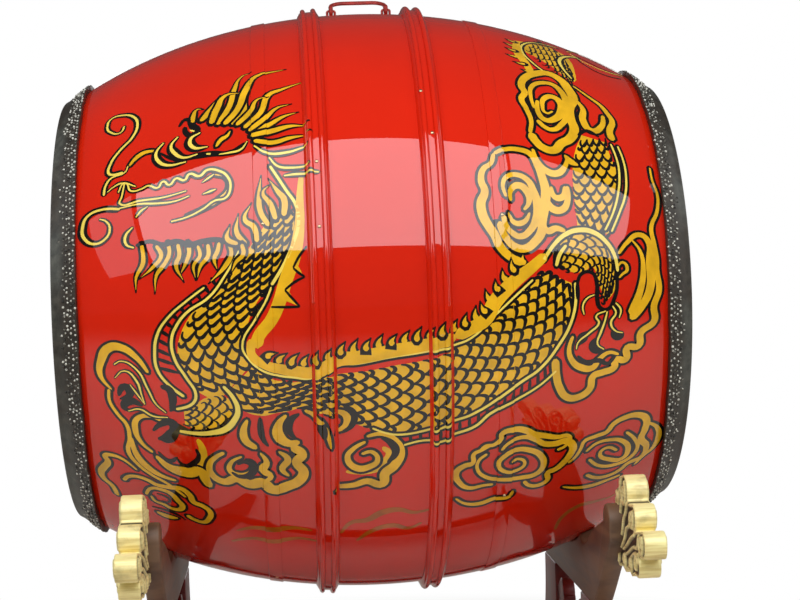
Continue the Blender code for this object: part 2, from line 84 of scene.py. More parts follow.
# Name, place, target, width, height, radiance, tint
SOFTBOXES = (
    ("window", (-0.72, -2.34, 2.80), (-0.72, 0.0, 0.86), 4.7, 2.25, 3.3, (0.97, 1.0, 1.04)),
    ("window_left", (-3.95, -2.34, 2.80), (-3.95, 0.0, 0.86), 1.5, 2.25, 1.0, (0.97, 1.0, 1.04)),
    ("window_right", (3.13, -2.34, 2.80), (3.13, 0.0, 0.86), 2.9, 2.25, 2.4, (0.97, 1.0, 1.04)),
    ("side_left", (-3.4, 0.4, 1.9), (0.0, 0.0, 0.9), 2.0, 2.2, 1.0, (1.0, 1.0, 1.0)),
    ("side_right", (3.4, 0.4, 1.8), (0.0, 0.0, 0.9), 2.0, 2.2, 1.2, (1.0, 0.98, 0.95)),
    ("rear", (0.0, 4.2, 1.3), (0.0, 0.0, 0.8), 4.0, 1.4, 2.2, (1.0, 1.0, 1.0)),
)


def size(text, default, note):
    return FloatProperty(name=text, description=note, default=default, unit="LENGTH", precision=4)


def colour(text, default, note):
    return FloatVectorProperty(name=text, description=note, default=default, size=3, subtype="COLOR",
                               min=0.0, max=1.0)


class DrumSizes(bpy.types.PropertyGroup):
    half_length: size("Half length", 0.554, "Half of the shell's length")
    belly_radius: size("Belly radius", 0.552, "Radius at the middle of the shell")
    end_radius: size("End radius", 0.3947, "Radius at either end of the shell")
    end_rounding: FloatProperty(name="End rounding", description="Share of the curve kept for the last stretch",
                                default=0.148, min=0.0, max=1.0)
    facets: IntProperty(name="Facets", description="Facets round the barrel", default=288, min=36)
    bands_shift: size("Bands' middle", 0.0033, "Place along the axis that the belly bands are spaced from")
    band_spacing: size("Band spacing", 0.0983, "From the bands' middle to the middle of a belly band")
    band_width: size("Band width", 0.042, "Width of a belly band on the shell")
    band_top: size("Band top", 0.030, "Width of a belly band's flat top")
    band_height: size("Band height", 0.010, "Height of a belly band's flat top")
    rib_width: size("Rib width", 0.010, "Width of a round rib on a belly band")
    rib_height: size("Rib height", 0.006, "Height of a round rib above the band's top")
    hoops_shift: size("Hoops' middle", 0.011, "Place along the axis that the flat hoops are spaced from")
    hoop_spacing: size("Hoop spacing", 0.202, "From the hoops' middle to the middle of a flat hoop")
    hoop_width: size("Hoop width", 0.0255, "Width of a flat hoop")
    hoop_thickness: size("Hoop thickness", 0.0016, "Thickness of a flat hoop")
    hide_thickness: size("Hide thickness", 0.006, "Thickness of a head's skin")
    hide_skirt: size("Hide skirt", 0.042, "How far a head's skin reaches over the shell")
    hide_corner: size("Hide corner", 0.007, "Rounding of the skin over the shell's rim")
    peg_pitch: size("Peg pitch", 0.0092, "Spacing of the hide's pegs round the shell")
    peg_radius: size("Peg radius", 0.0024, "Radius of a hide peg")


class DrumColours(bpy.types.PropertyGroup):
    lacquer: colour("Lacquer", (0.65, 0.015, 0.002), "Red lacquer of the barrel")
    hide: colour("Hide", (0.020, 0.015, 0.010), "Darkened skin over the shell's rim")
    skin: colour("Skin", (0.36, 0.22, 0.11), "Bare skin in the middle of a head")
    gold: colour("Gold", (0.80, 0.43, 0.012), "Gold paint of the dragon and the clouds")
    pale_gold: colour("Pale gold", (0.88, 0.66, 0.10), "Highlights of the painting")
    ink: colour("Ink", (0.006, 0.005, 0.004), "Black outline of the painting")
    gilding: colour("Gilding", (0.98, 0.83, 0.38), "Worn gilding of the carved horns")
    brown: colour("Brown wood", (0.16, 0.085, 0.045), "Stained wood of the cradle boards")
    dark_red: colour("Dark red wood", (0.19, 0.012, 0.008), "Dark red stain of the legs and rails")
    floor: colour("Floor", (0.76, 0.71, 0.64), "Floor and backdrop")


def sizes():
    return bpy.context.scene.temple_drum_sizes


def colours():
    return bpy.context.scene.temple_drum_colours


# Materials

def new_material(name):
    material = bpy.data.materials.new(name)
    material.use_nodes = True
    return material, material.node_tree, material.node_tree.nodes["Principled BSDF"]


def plug(tree, node, values):
    """Set or link a node's inputs."""
    for key, value in values.items():
        if isinstance(value, bpy.types.NodeSocket):
            tree.links.new(value, node.inputs[key])
        else:
            node.inputs[key].default_value = value


def add(tree, kind, values, **settings):
    """One node, with its settings and the values or links of its inputs."""
    node = tree.nodes.new(kind)
    for key, value in settings.items():
        setattr(node, key, value)
    plug(tree, node, values)
    return node


def object_place(tree):
    return add(tree, "ShaderNodeTexCoord", {}).outputs["Object"]


def noise(tree, scale, detail=4.0, stretch=(1, 1, 1), distortion=0.0):
    mapped = add(tree, "ShaderNodeMapping", {"Vector": object_place(tree), "Scale": stretch}).outputs["Vector"]
    node = add(tree, "ShaderNodeTexNoise",
               {"Vector": mapped, "Scale": scale, "Detail": detail, "Distortion": distortion})
    return node.outputs["Fac"]


def ramp(tree, factor, stops):
    node = add(tree, "ShaderNodeValToRGB", {"Fac": factor})
    band = node.color_ramp
    while len(band.elements) < len(stops):
        band.elements.new(0.5)
    for element, (position, tint) in zip(band.elements, stops):
        element.position = position
        element.color = (*tint, 1.0) if len(tint) == 3 else tint
    return node.outputs["Color"]


def shade(tint, factor):
    return tuple(min(1.0, c * factor) for c in tint)


def spread(tree, factor, low, high):
    """A factor from 0 to 1 as a value from low to high."""
    node = add(tree, "ShaderNodeMapRange", {"Value": factor, "To Min": low, "To Max": high})
    return node.outputs["Result"]


def between(tree, value, low, high, kind="LINEAR"):
    """0 below low and 1 above high."""
    node = add(tree, "ShaderNodeMapRange", {"Value": value, "From Min": low, "From Max": high},
               interpolation_type=kind)
    return node.outputs["Result"]


def combine(tree, operation, *values):
    return add(tree, "ShaderNodeMath", dict(enumerate(values)), operation=operation).outputs["Value"]


def blend(tree, share, first, second, kind="MIX"):
    """Two colours mixed by a share, or multiplied."""
    node = add(tree, "ShaderNodeMix", {0: share, 6: first, 7: second}, data_type="RGBA", blend_type=kind)
    return node.outputs[2]


def distance(tree, place):
    return add(tree, "ShaderNodeVectorMath", {0: place}, operation="LENGTH").outputs["Value"]


def bump(tree, height, strength, depth):
    node = add(tree, "ShaderNodeBump", {"Height": height, "Strength": strength, "Distance": depth})
    return node.outputs["Normal"]


def seen_ray(tree):
    """1 for what the camera sees, straight or through glass."""
    path = add(tree, "ShaderNodeLightPath", {})
    return combine(tree, "MAXIMUM", path.outputs["Is Camera Ray"], path.outputs["Is Transmission Ray"])


def glossy_coat(tree, shader):
    """The clear lacquer over the red ground and the painting alike, with its slight ripple."""
    ripple, peel = noise(tree, 9.0, 2.0), noise(tree, 160.0, 2.0)
    height = combine(tree, "MULTIPLY_ADD", peel, 0.012, ripple)
    plug(tree, shader, {"Specular IOR Level": 0.0, "Coat Weight": 1.0, "Coat Roughness": 0.02,
                        "Coat IOR": 1.66, "Normal": bump(tree, height, 0.10, 0.004)})


def lacquer_finish():
    material, tree, shader = new_material("red_lacquer")
    tint = tuple(colours().lacquer)
    tone = ramp(tree, noise(tree, 3.0, 5.0), [(0.3, shade(tint, 0.90)), (0.7, shade(tint, 1.06))])
    plug(tree, shader, {"Base Color": tone, "Roughness": spread(tree, noise(tree, 14.0, 3.0), 0.24, 0.34)})
    glossy_coat(tree, shader)
    return material


def paint_finish(name, tint, patches):
    """Hand-laid paint under the clear lacquer, a little uneven in strength."""
    material, tree, shader = new_material(name)
    tone = ramp(tree, noise(tree, 22.0, 6.0, distortion=0.4),
                [(0.32, shade(tint, 1 - patches)), (0.68, shade(tint, 1 + patches * 0.4))])
    plug(tree, shader, {"Base Color": tone, "Roughness": 0.4})
    glossy_coat(tree, shader)
    return material


def hide_finish():
    """Bare skin in the middle of a head, dark and stained over the rim, with a painted greenish-grey sheen in
    patches there.
    """
    material, tree, shader = new_material("hide")
    centred = add(tree, "ShaderNodeMapping", {"Vector": object_place(tree), "Location": -AXIS}).outputs["Vector"]
    parts = add(tree, "ShaderNodeSeparateXYZ", {"Vector": centred}).outputs
    across = add(tree, "ShaderNodeCombineXYZ", {"Y": parts["Y"], "Z": parts["Z"]}).outputs["Vector"]
    reach = distance(tree, across)
    wander = combine(tree, "MULTIPLY_ADD", noise(tree, 5.0, 6.0), 0.10, reach)
    dark, skin = tuple(colours().hide), tuple(colours().skin)
    tone = ramp(tree, wander, [(0.10, shade(skin, 1.25)), (0.30, skin), (0.39, shade(skin, 0.45)),
                               (0.435, shade(dark, 1.4))])
    grain = noise(tree, 70.0, 6.0)
    mottle = ramp(tree, grain, [(0.30, (0.62, 0.62, 0.62)), (0.72, (1.5, 1.45, 1.4))])
    rim = between(tree, combine(tree, "ABSOLUTE", parts["X"]), 0.532, 0.545)
    skirt = between(tree, reach, 0.37, 0.395)
    # Painted sheen: greenish-grey patches over the rim stand for the window's reflection in the hide.
    sheen_patches = ramp(tree, noise(tree, 9.0, 6.0), [(0.42, (0.0, 0.0, 0.0)), (0.60, (1.0, 1.0, 1.0))])
    painted_sheen = combine(tree, "MULTIPLY", combine(tree, "MULTIPLY", rim, skirt), sheen_patches)
    hide_with_sheen = blend(tree, painted_sheen, tone, (0.060, 0.062, 0.052, 1.0))
    plug(tree, shader, {"Base Color": blend(tree, 1.0, hide_with_sheen, mottle, "MULTIPLY"),
                        "Roughness": spread(tree, grain, 0.34, 0.52),
                        "Normal": bump(tree, noise(tree, 210.0, 5.0), 0.6, 0.0009)})
    return material


def peg_finish():
    """Small wooden pegs, most of them dark, and some painted pale grey as glints."""
    material, tree, shader = new_material("hide_pegs")
    # Painted highlights: the paler pegs stand for glints on the dark pegs.
    tone = ramp(tree, noise(tree, 120.0, 1.0), [(0.38, (0.013, 0.011, 0.008)), (0.48, (0.12, 0.11, 0.085)),
                                                (0.57, (0.60, 0.58, 0.50))])
    plug(tree, shader, {"Base Color": tone, "Roughness": 0.25})
    return material


def iron_finish(name, tint, metallic, roughness):
    material, tree, shader = new_material(name)
    tone = ramp(tree, noise(tree, 90.0), [(0.3, shade(tint, 0.7)), (0.7, shade(tint, 1.2))])
    rough = spread(tree, noise(tree, 40.0), roughness * 0.8, roughness * 1.3)
    plug(tree, shader, {"Base Color": tone, "Metallic": metallic, "Roughness": rough,
                        "Normal": bump(tree, noise(tree, 300.0), 0.25, 0.0004)})
    return material


def wood_finish(name, tint, dark, roughness, stretch):
    material, tree, shader = new_material(name)
    grain = noise(tree, 14.0, 8.0, stretch, 0.6)
    tone = ramp(tree, grain, [(0.3, dark), (0.55, tint), (0.8, shade(tint, 1.25))])
    plug(tree, shader, {"Base Color": tone, "Roughness": spread(tree, grain, roughness * 0.8, roughness * 1.2),
                        "Normal": bump(tree, grain, 0.2, 0.001)})
    return material


def gilded_finish():
    """Pale gold leaf with fine tool lines and a little wear, with painted shade darkening the sunk carving and the
    creases.
    """
    material, tree, shader = new_material("gilded_wood")
    tint = tuple(colours().gilding)
    lines = noise(tree, 26.0, 5.0, (0.5, 0.5, 9))
    wear = noise(tree, 30.0, 6.0, distortion=0.5)
    leaf = ramp(tree, wear, [(0.30, shade(tint, 0.72)), (0.45, tint), (0.75, shade(tint, 1.08))])
    streaks = ramp(tree, lines, [(0.35, (0.80, 0.74, 0.62)), (0.55, (1.0, 1.0, 1.0))])
    gold = blend(tree, 1.0, leaf, streaks, "MULTIPLY")
    # Painted shade: the attribute read here turns the sunk carving and the creases near black.
    recess_shade = add(tree, "ShaderNodeAttribute", {}, attribute_name="recess_shade").outputs["Fac"]
    depth = combine(tree, "MULTIPLY", recess_shade, spread(tree, wear, 0.8, 1.5))
    plug(tree, shader, {"Base Color": blend(tree, depth, gold, (0.030, 0.014, 0.008, 1.0)), "Metallic": 0.15,
                        "Roughness": spread(tree, wear, 0.30, 0.48), "Normal": bump(tree, lines, 0.35, 0.0015)})
    return material


FINISHES = {}


def finish(name):
    if name not in FINISHES:
        tints = colours()
        makers = {
            "red_lacquer": lacquer_finish,
            "gold_paint": lambda: paint_finish("gold_paint", tuple(tints.gold), 0.22),
            "pale_paint": lambda: paint_finish("pale_paint", tuple(tints.pale_gold), 0.12),
            "ink_paint": lambda: paint_finish("ink_paint", tuple(tints.ink), 0.1),
            # A darker, redder copy of the gold paint, as painted shade for the clouds low on the barrel
            "faint_paint": lambda: paint_finish("faint_paint", (0.42, 0.10, 0.006), 0.3),
            "hide": hide_finish,
            "hide_pegs": peg_finish,
            "nails": lambda: iron_finish("nails", (0.55, 0.42, 0.25), 0.9, 0.25),
            "red_iron": lambda: iron_finish("red_iron", (0.36, 0.03, 0.02), 0.2, 0.35),
            "bare_iron": lambda: iron_finish("bare_iron", (0.20, 0.19, 0.18), 0.8, 0.45),
            "gilded_wood": gilded_finish,
            "brown_wood": lambda: wood_finish("brown_wood", tuple(tints.brown), (0.07, 0.035, 0.02), 0.5,
                                              (1, 0.3, 3)),
            "red_wood": lambda: wood_finish("red_wood", tuple(tints.dark_red), (0.09, 0.006, 0.004), 0.4,
                                            (1, 3, 0.6)),
        }
        FINISHES[name] = makers[name]()
    return FINISHES[name]


def paint(obj, name):
    obj.data.materials.clear()
    obj.data.materials.append(finish(name))
    return obj


# Modelling

def deselect():
    if bpy.context.mode != "OBJECT":
        bpy.ops.object.mode_set(mode="OBJECT")
    bpy.ops.object.select_all(action="DESELECT")


def pick(obj):
    deselect()
    obj.select_set(True)
    bpy.context.view_layer.objects.active = obj


def edit_all():
    """Enter edit mode with everything selected."""
    bpy.ops.object.mode_set(mode="EDIT")
    bpy.ops.mesh.select_all(action="SELECT")


def leave_edit():
    bpy.ops.object.mode_set(mode="OBJECT")


def soften(degrees):
    """Shade smooth, apart from edges sharper than this."""
    bpy.ops.object.shade_smooth_by_angle(angle=math.radians(degrees))


def settle(obj, name, body, finish_name, slot=None):
    """Name a piece, put its place in its mesh, and give it its body and finish."""
    pick(obj)
    bpy.ops.object.transform_apply(location=True, rotation=True, scale=True)
    obj.name = name
    obj.data.name = name
    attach(obj, body)
    paint(obj, finish_name)
    slot or finish_name
    return obj


def modify(obj, kind, **settings):
    """Add one modifier and apply it."""
    pick(obj)
    modifier = obj.modifiers.new(kind.title(), kind)
    for key, value in settings.items():
        setattr(modifier, key, value)
    bpy.ops.object.modifier_apply(modifier=modifier.name)


def blank_curve(dimensions):
    deselect()
    bpy.ops.curve.primitive_bezier_curve_add()
    curve = bpy.context.object
    curve.data.splines.clear()
    curve.data.dimensions = dimensions
    return curve


def polyline(dimensions, places, cyclic=False):
    """A curve of one straight-sided line."""
    line = blank_curve(dimensions)
    spline = line.data.splines.new("POLY")
    spline.points.add(len(places) - 1)
    spline.use_cyclic_u = cyclic
    for point, place in zip(spline.points, places):
        point.co = (*place, 1.0)
    pick(line)
    return line


def turn(profile, steps):
    """Draw a line of (place along the axis, radius) and spin it about the drum's axis."""
    line = polyline("3D", [(x, 0.0, radius) for x, radius in profile])
    line.location = AXIS
    bpy.ops.object.convert(target="MESH")
    edit_all()
    bpy.ops.mesh.spin(steps=steps, angle=ROUND, center=AXIS, axis=(1, 0, 0))
    bpy.ops.mesh.select_all(action="SELECT")
    bpy.ops.mesh.remove_doubles(threshold=0.00002)
    bpy.ops.mesh.normals_make_consistent(inside=False)
    leave_edit()
    soften(40)
    return bpy.context.object


def curve_radius(x):
    """Outer radius of the shell at a place along its axis."""
    s = sizes()
    t = abs(x) / s.half_length
    share = (1 - s.end_rounding) * t ** 2 + s.end_rounding * t ** 4
    return s.belly_radius - (s.belly_radius - s.end_radius) * share


def band_middles():
    s = sizes()
    return [(side, s.bands_shift + way * s.band_spacing) for side, way in SIDES]


def hoop_middles():
    s = sizes()
    return [(side, s.hoops_shift + way * s.hoop_spacing) for side, way in SIDES]


def rib_middles():
    """Places of a band's two ribs from the band's middle."""
    s = sizes()
    return [(side, way * (s.band_top - s.rib_width) / 2) for side, way in SIDES]


def band_section():
    s = sizes()
    half, top, height = s.band_width / 2, s.band_top / 2, s.band_height
    side = [(-half, -0.001), (-half, 0.0006), (-top - 0.0006, height - 0.0003), (-top, height)]
    return side + [(-x, h) for x, h in reversed(side)]


def rib_section(middle):
    s = sizes()
    arc = []
    for k in range(11):
        angle = math.pi * k / 10
        arc.append((middle - s.rib_width / 2 * math.cos(angle), s.band_height + s.rib_height * math.sin(angle)))
    low = s.band_height - 0.0008
    return [(arc[0][0], low), *arc, (arc[-1][0], low)]


def hoop_section():
    s = sizes()
    half, top = s.hoop_width / 2, s.hoop_thickness
    side = [(-half, -0.0008), (-half, top * 0.55), (-half + 0.0005, top * 0.9), (-half + 0.0012, top)]
    return side + [(-x, h) for x, h in reversed(side)]


def on_shell(middle, section):
    """A closed profile for turn() from (offset, height above the shell)."""
    profile = [(middle + x, curve_radius(middle + x) + h) for x, h in section]
    return profile + profile[:1]


def relief(x):
    """Height of the bands and hoops above the shell at a place along the axis."""
    s = sizes()
    for _, middle in band_middles():
        off = x - middle
        if abs(off) < s.band_width / 2:
            slope = (s.band_width / 2 - abs(off)) / ((s.band_width - s.band_top) / 2)
            height = s.band_height * min(1.0, slope)
            for _, rib in rib_middles():
                across = (off - rib) / (s.rib_width / 2)
                if abs(across) < 1:
                    height = s.band_height + s.rib_height * math.sqrt(1 - across ** 2)
            return height
    for _, middle in hoop_middles():
        if abs(x - middle) < s.hoop_width / 2 + 0.0005:
            return s.hoop_thickness
    return 0.0


def creases():
    """Places along the axis where the relief turns, so that paint over it is cut there."""
    s = sizes()
    places = set()
    for _, middle in band_middles():
        places |= {middle + way * s.band_width / 2 for way in (-1, 1)}
        for _, rib in rib_middles():
            places |= {middle + rib - s.rib_width / 2 * math.cos(math.pi * k / 8) for k in range(9)}
    for _, middle in hoop_middles():
        places |= {middle + way * (s.hoop_width / 2 + edge) for way in (-1, 1) for edge in (0.0003, 0.0014)}
    return sorted(places)


# Carved stand: places are (outwards from the middle, height) in metres, heights from the axis

TIP = (0.51, -0.355)
SCROLL_SIZE = 0.2
SCROLL_INNER, SCROLL_OUTER = 0.402, 0.439
# Carving: height from the grooves to the locks, depth of the grooves, the plain rim round the
# carved sides and the stretch over which the carving rises from it
CARVING_DEPTH, CARVING_SUNK = 0.0058, 0.0030
CARVING_RIM, CARVING_RISE = 0.0035, 0.003
PINCH_RADIUS = 0.0028
SCROLL_ROUNDING = 0.008
SCROLL_VOXEL = 0.0016
BOARD_INNER, BOARD_OUTER = 0.380, 0.414
RAIL_HALF = 0.012
BOARD_ROUNDING, RAIL_ROUNDING, LEG_ROUNDING = 0.004, 0.002, 0.003


def from_tip(points):
    """Shares of the scroll's size, measured from the cradle's tip."""
    return [(TIP[0] + SCROLL_SIZE * y, TIP[1] + SCROLL_SIZE * z) for y, z in points]


def arc(y, z, radius, start, end, steps):
    angles = [math.radians(start + (end - start) * k / steps) for k in range(steps + 1)]
    return [(y + radius * math.cos(a), z + radius * math.sin(a)) for a in angles]


def spiral(y, z, radius, start, turns, steps=14):
    """From the rim of a curl to its eye."""
    points = []
    for k in range(steps + 1):
        angle = math.radians(start) + 2 * math.pi * turns * k / steps
        reach = radius * (1 - 0.80 * k / steps)
        points.append((y + reach * math.cos(angle), z + reach * math.sin(angle)))
    return points


def slab(outline, low, high):
    """A board between two places along the axis, from its outline."""
    curve = polyline("2D", [(y, z, 0.0) for y, z in outline], cyclic=True)
    curve.data.fill_mode = "BOTH"
    bpy.ops.object.convert(target="MESH")
    board = bpy.context.object
    edit_all()
    bpy.ops.mesh.remove_doubles(threshold=0.00001)
    bpy.ops.mesh.dissolve_limited(angle_limit=math.radians(1))
    bpy.ops.mesh.select_all(action="SELECT")
    bpy.ops.mesh.extrude_region_move(TRANSFORM_OT_translate={"value": (0, 0, high - low)})
    bpy.ops.mesh.select_all(action="SELECT")
    bpy.ops.mesh.normals_make_consistent(inside=False)
    leave_edit()
    for vertex in board.data.vertices:
        y, z, x = vertex.co
        vertex.co = AXIS + Vector((low + x, y, z))
    return board


def round_edges(obj, width, segments):
    modify(obj, "BEVEL", width=width, segments=segments, limit_method="ANGLE", angle_limit=math.radians(30))


def dome(segments, rings, radius, foot):
    """A ball cut flat and closed a little below its middle."""
    deselect()
    bpy.ops.mesh.primitive_uv_sphere_add(segments=segments, ring_count=rings, radius=radius)
    edit_all()
    bpy.ops.mesh.bisect(plane_co=(0, 0, foot), plane_no=(0, 0, 1), clear_inner=True, use_fill=True)
    leave_edit()
    return bpy.context.object


def segment_gap(places, start, end):
    """How far each place is from a straight stretch, and the share of it next to the place."""
    start, run = np.array(start), np.array(end) - np.array(start)
    share = np.clip(((places - start) @ run) / max(run @ run, 1e-12), 0.0, 1.0)
    return np.linalg.norm(places - start - share[:, None] * run, axis=1), share


def scroll_outline():
    """Two locks on top, four lobes down the outer edge and leaves below."""
    points = arc(-0.19, 0.03, 0.10, 175, 45, 8)
    points += arc(-0.03, 0.165, 0.085, 190, 80, 7)
    points += arc(0.125, 0.125, 0.15, 95, -15, 12)
    points += [(0.30, 0.055)]
    points += arc(0.48, -0.05, 0.125, 115, -35, 12)
    points += [(0.50, -0.155)]
    points += arc(0.88, -0.215, 0.12, 110, -60, 12)
    points += [(0.745, -0.335)]
    points += arc(0.64, -0.42, 0.095, 50, -90, 10)
    points += [(0.50, -0.51), (0.375, -0.545), (0.225, -0.495), (0.10, -0.555), (-0.05, -0.52),
               (-0.20, -0.55), (-0.335, -0.485), (-0.41, -0.42), (-0.37, -0.30), (-0.29, -0.215),
               (-0.27, -0.10)]
    return from_tip(points)


# Creases between the lobes, which get painted shade
PINCHES = [(0.30, 0.06), (0.50, -0.15), (0.745, -0.335), (-0.115, 0.13), (0.42, -0.51), (0.225, -0.49),
           (-0.05, -0.51), (-0.335, -0.48)]


def scroll_locks():
    """Raised locks on a scroll's sides: radius at the start and the end, and the line."""
    curls = [(0.115, 0.115, 0.115, 60, -1.3), (-0.19, 0.025, 0.07, 100, -1.1), (0.445, -0.05, 0.095, 40, -1.3),
             (0.83, -0.21, 0.095, 40, -1.4), (0.61, -0.405, 0.075, 20, 1.2), (0.36, -0.44, 0.06, -60, 1.1),
             (0.08, -0.45, 0.065, -60, 1.1), (-0.22, -0.44, 0.065, -60, 1.1)]
    for y, z, radius, start, turns in curls:
        yield 0.0050, 0.0032, from_tip(spiral(y, z, radius, start, turns))
    flows = [[(-0.32, -0.36), (-0.27, -0.20), (-0.24, -0.06), (-0.16, 0.08)],
             [(-0.25, -0.33), (-0.17, -0.18), (-0.13, -0.02), (-0.06, 0.10), (0.02, 0.22)],
             [(-0.18, -0.32), (-0.08, -0.20), (-0.04, -0.06), (0.02, 0.05)],
             [(-0.12, -0.35), (0.02, -0.22), (0.10, -0.10), (0.20, -0.03), (0.27, 0.06)],
             [(-0.04, -0.36), (0.12, -0.26), (0.22, -0.16), (0.36, -0.12), (0.40, -0.02)],
             [(0.06, -0.36), (0.22, -0.30), (0.40, -0.22), (0.55, -0.17)],
             [(0.16, -0.39), (0.32, -0.34), (0.50, -0.28), (0.68, -0.26), (0.75, -0.15)],
             [(0.40, -0.38), (0.52, -0.33), (0.66, -0.32), (0.74, -0.30)]]
    for line in flows:
        yield 0.0024, 0.0042, from_tip(line)


BARREL_STEPS = 48
BARREL_WALL = 0.025

# Rows of pegs, from the skin's edge: the share of each that is missing
PEGS_MISSING = (0.04, 0.05, 0.08, 0.22, 0.86)
PEG_ROWS_START = 0.0045
PEG_ROW_SPACING = 0.0063
# How unevenly they are set: shares of the pitch round the shell, metres along it, and sizes
PEG_STRAY = 0.24
PEG_DRIFT = 0.0016
PEG_SCALES = (0.82, 1.15)

# Nail heads: place along the axis, and degrees up from the level of the axis
NAILS = ((-0.1892, 15.4), (-0.1892, -70.6), (0.2142, 15.8), (0.2142, -40.0), (-0.0950, 26.1), (-0.0950, 14.0),
         (0.0896, 40.4), (0.1036, 31.3))
NAIL_RADIUS = 0.0032
NAIL_FLATNESS = 0.45

# Brush work: places are (along, around) in millimetres on the unrolled shell, and around is
# measured at the belly, upwards from the height of the axis

OUTLINE = 5.0
LIFTS = (0.22, 0.34, 0.46, 0.58, 0.70)
PAINT_THICKNESS = 0.0003
# Wide strokes are cut into squares of this side, so that they bend with the shell
PAINT_GRID = 0.014


def mix(a, b, share):
    return tuple(p + (q - p) * share for p, q in zip(a, b))


def along(points, share):
    """The place at a share of a line's length."""
    lengths = [math.dist(a, b) for a, b in zip(points, points[1:])]
    left = share * sum(lengths)
    for start, end, length in zip(points, points[1:], lengths):
        if left <= length:
            return mix(start, end, left / length)
        left -= length
    return points[-1]


def smooth(points, parts=6):
    """A finer line through the same points."""
    fine = []
    last = len(points) - 1
    for i in range(last):
        a, b, c, d = (points[min(max(i + k, 0), last)] for k in (-1, 0, 1, 2))
        for k in range(parts):
            t = k / parts
            fine.append(tuple(0.5 * (2 * b[n] + (c[n] - a[n]) * t + (2 * a[n] - 5 * b[n] + 4 * c[n] - d[n]) * t * t
                                     + (3 * b[n] - a[n] - 3 * c[n] + d[n]) * t ** 3) for n in (0, 1)))
    return fine + [points[-1]]


def scales(back, belly, columns, spacing, width):
    """Rows of crescents between two lines, over a gold ground."""
    back, belly = smooth(back), smooth(belly)
    middle = [mix(a, b, 0.5) for a, b in zip(back, belly)]
    lengths = [math.dist(a, b) for a, b in zip(middle, middle[1:])]
    total = sum(lengths)
    rows = max(1, round(total / spacing))

    def place(row, share):
        left = min(max(row / rows, 0.0), 1.0) * total
        for k, length in enumerate(lengths):
            if left <= length:
                break
            left -= length
        t = min(left / length, 1.0)
        return mix(mix(back[k], back[k + 1], t), mix(belly[k], belly[k + 1], t), share)

    strokes = [("ground", [], [])]
    for k in range(0, len(middle), 3):
        (ax, ay), (bx, by) = middle[max(k - 1, 0)], middle[min(k + 1, len(middle) - 1)]
        across, up = belly[k][0] - back[k][0], belly[k][1] - back[k][1]
        strokes[0][1].append(abs((bx - ax) * up - (by - ay) * across) / math.dist((ax, ay), (bx, by)))
        strokes[0][2].append(middle[k])
    for row in range(rows):
        for column in range(columns + row % 2):
            low = max((column - 0.5 * (row % 2)) / columns, 0.0)
            high = min((column + 1 - 0.5 * (row % 2)) / columns, 1.0)
            depth = 0.95 * min(1.0, (high - low) * columns)
            points = [place(row + depth * reach, low + (high - low) * share)
                      for reach, share in ((0.0, 0.0), (0.62, 0.14), (1.0, 0.5), (0.62, 0.86), (0.0, 1.0))]
            strokes.append(("ink", (width * 0.4, width * 1.2, width * 0.4), points))
    return strokes


def ladder(inner, outer, count, width):
    """Short strokes across the belly band."""
    strokes = []
    for k in range(count):
        a, b = along(inner, (k + 0.5) / count), along(outer, (k + 0.5) / count)
        strokes.append(("ink", (width * 0.5, width, width * 0.7), [a, mix(a, b, 0.5), b]))
    return strokes


def fringe(line, count, height, lean, width):
    """Pointed tongues that stand along a line and lean towards its end."""
    line = smooth(line)
    strokes = []
    for k in range(count):
        share = (k + 0.5) / count
        foot = along(line, share)
        ahead = along(line, min(share + 0.02, 1.0))
        length = math.dist(foot, ahead) or 1.0
        x, y = (ahead[0] - foot[0]) / length, (ahead[1] - foot[1]) / length
        reach = height * (0.85 + 0.3 * ((k * 7) % 5) / 4)
        knee = (foot[0] + x * lean * 0.25 - y * reach * 0.55, foot[1] + y * lean * 0.25 + x * reach * 0.55)
        tip = (foot[0] + x * lean - y * reach, foot[1] + y * lean + x * reach)
        strokes.append(("tongue", (width, width * 0.7, 0.6), [foot, knee, tip]))
    return strokes


def stretched(points, reach):
    """The line with both ends moved outwards."""
    def out(end, inside):
        return mix(inside, end, 1 + reach / (math.dist(end, inside) or 1.0))
    return [out(points[0], points[1]), *points[1:-1], out(points[-1], points[-2])]


# Paint and layer of the strokes without an outline
PLAIN_STROKES = {"gold": ("gold", 0), "ground": ("gold", 0), "faint": ("faint", 0), "ink": ("ink", 1),
                 "fill": ("gold", 2), "over": ("ink", 3), "light": ("pale", 4)}


def ribbons(strokes):
    """Each stroke as flat ribbons: paint, layer, widths and points."""
    for count, (kind, widths, points) in enumerate(strokes):
        if kind in PLAIN_STROKES:
            yield *PLAIN_STROKES[kind], widths, points
        elif kind == "pen":
            yield "ink", 3, [w * 1.25 for w in widths], stretched(points, 2)
            yield "pale", 4, [w * 0.40 for w in widths], points
        elif kind == "tongue":
            layer = 1 + 2 * (count % 2)
            rims = (1.5 * OUTLINE, 1.4 * OUTLINE, 1.5)
            yield "ink", layer, [w + rim for w, rim in zip(widths, rims)], stretched(points, 1.3 * OUTLINE)
            yield "gold", layer + 1, [w * 0.8 for w in widths], points
        else:
            rim, fill = {"band": (2.0, "gold"), "edge": (1.7, "pale")}[kind]
            yield "ink", 1, [w + rim * OUTLINE for w in widths], stretched(points, OUTLINE)
            yield fill, 2, widths, points


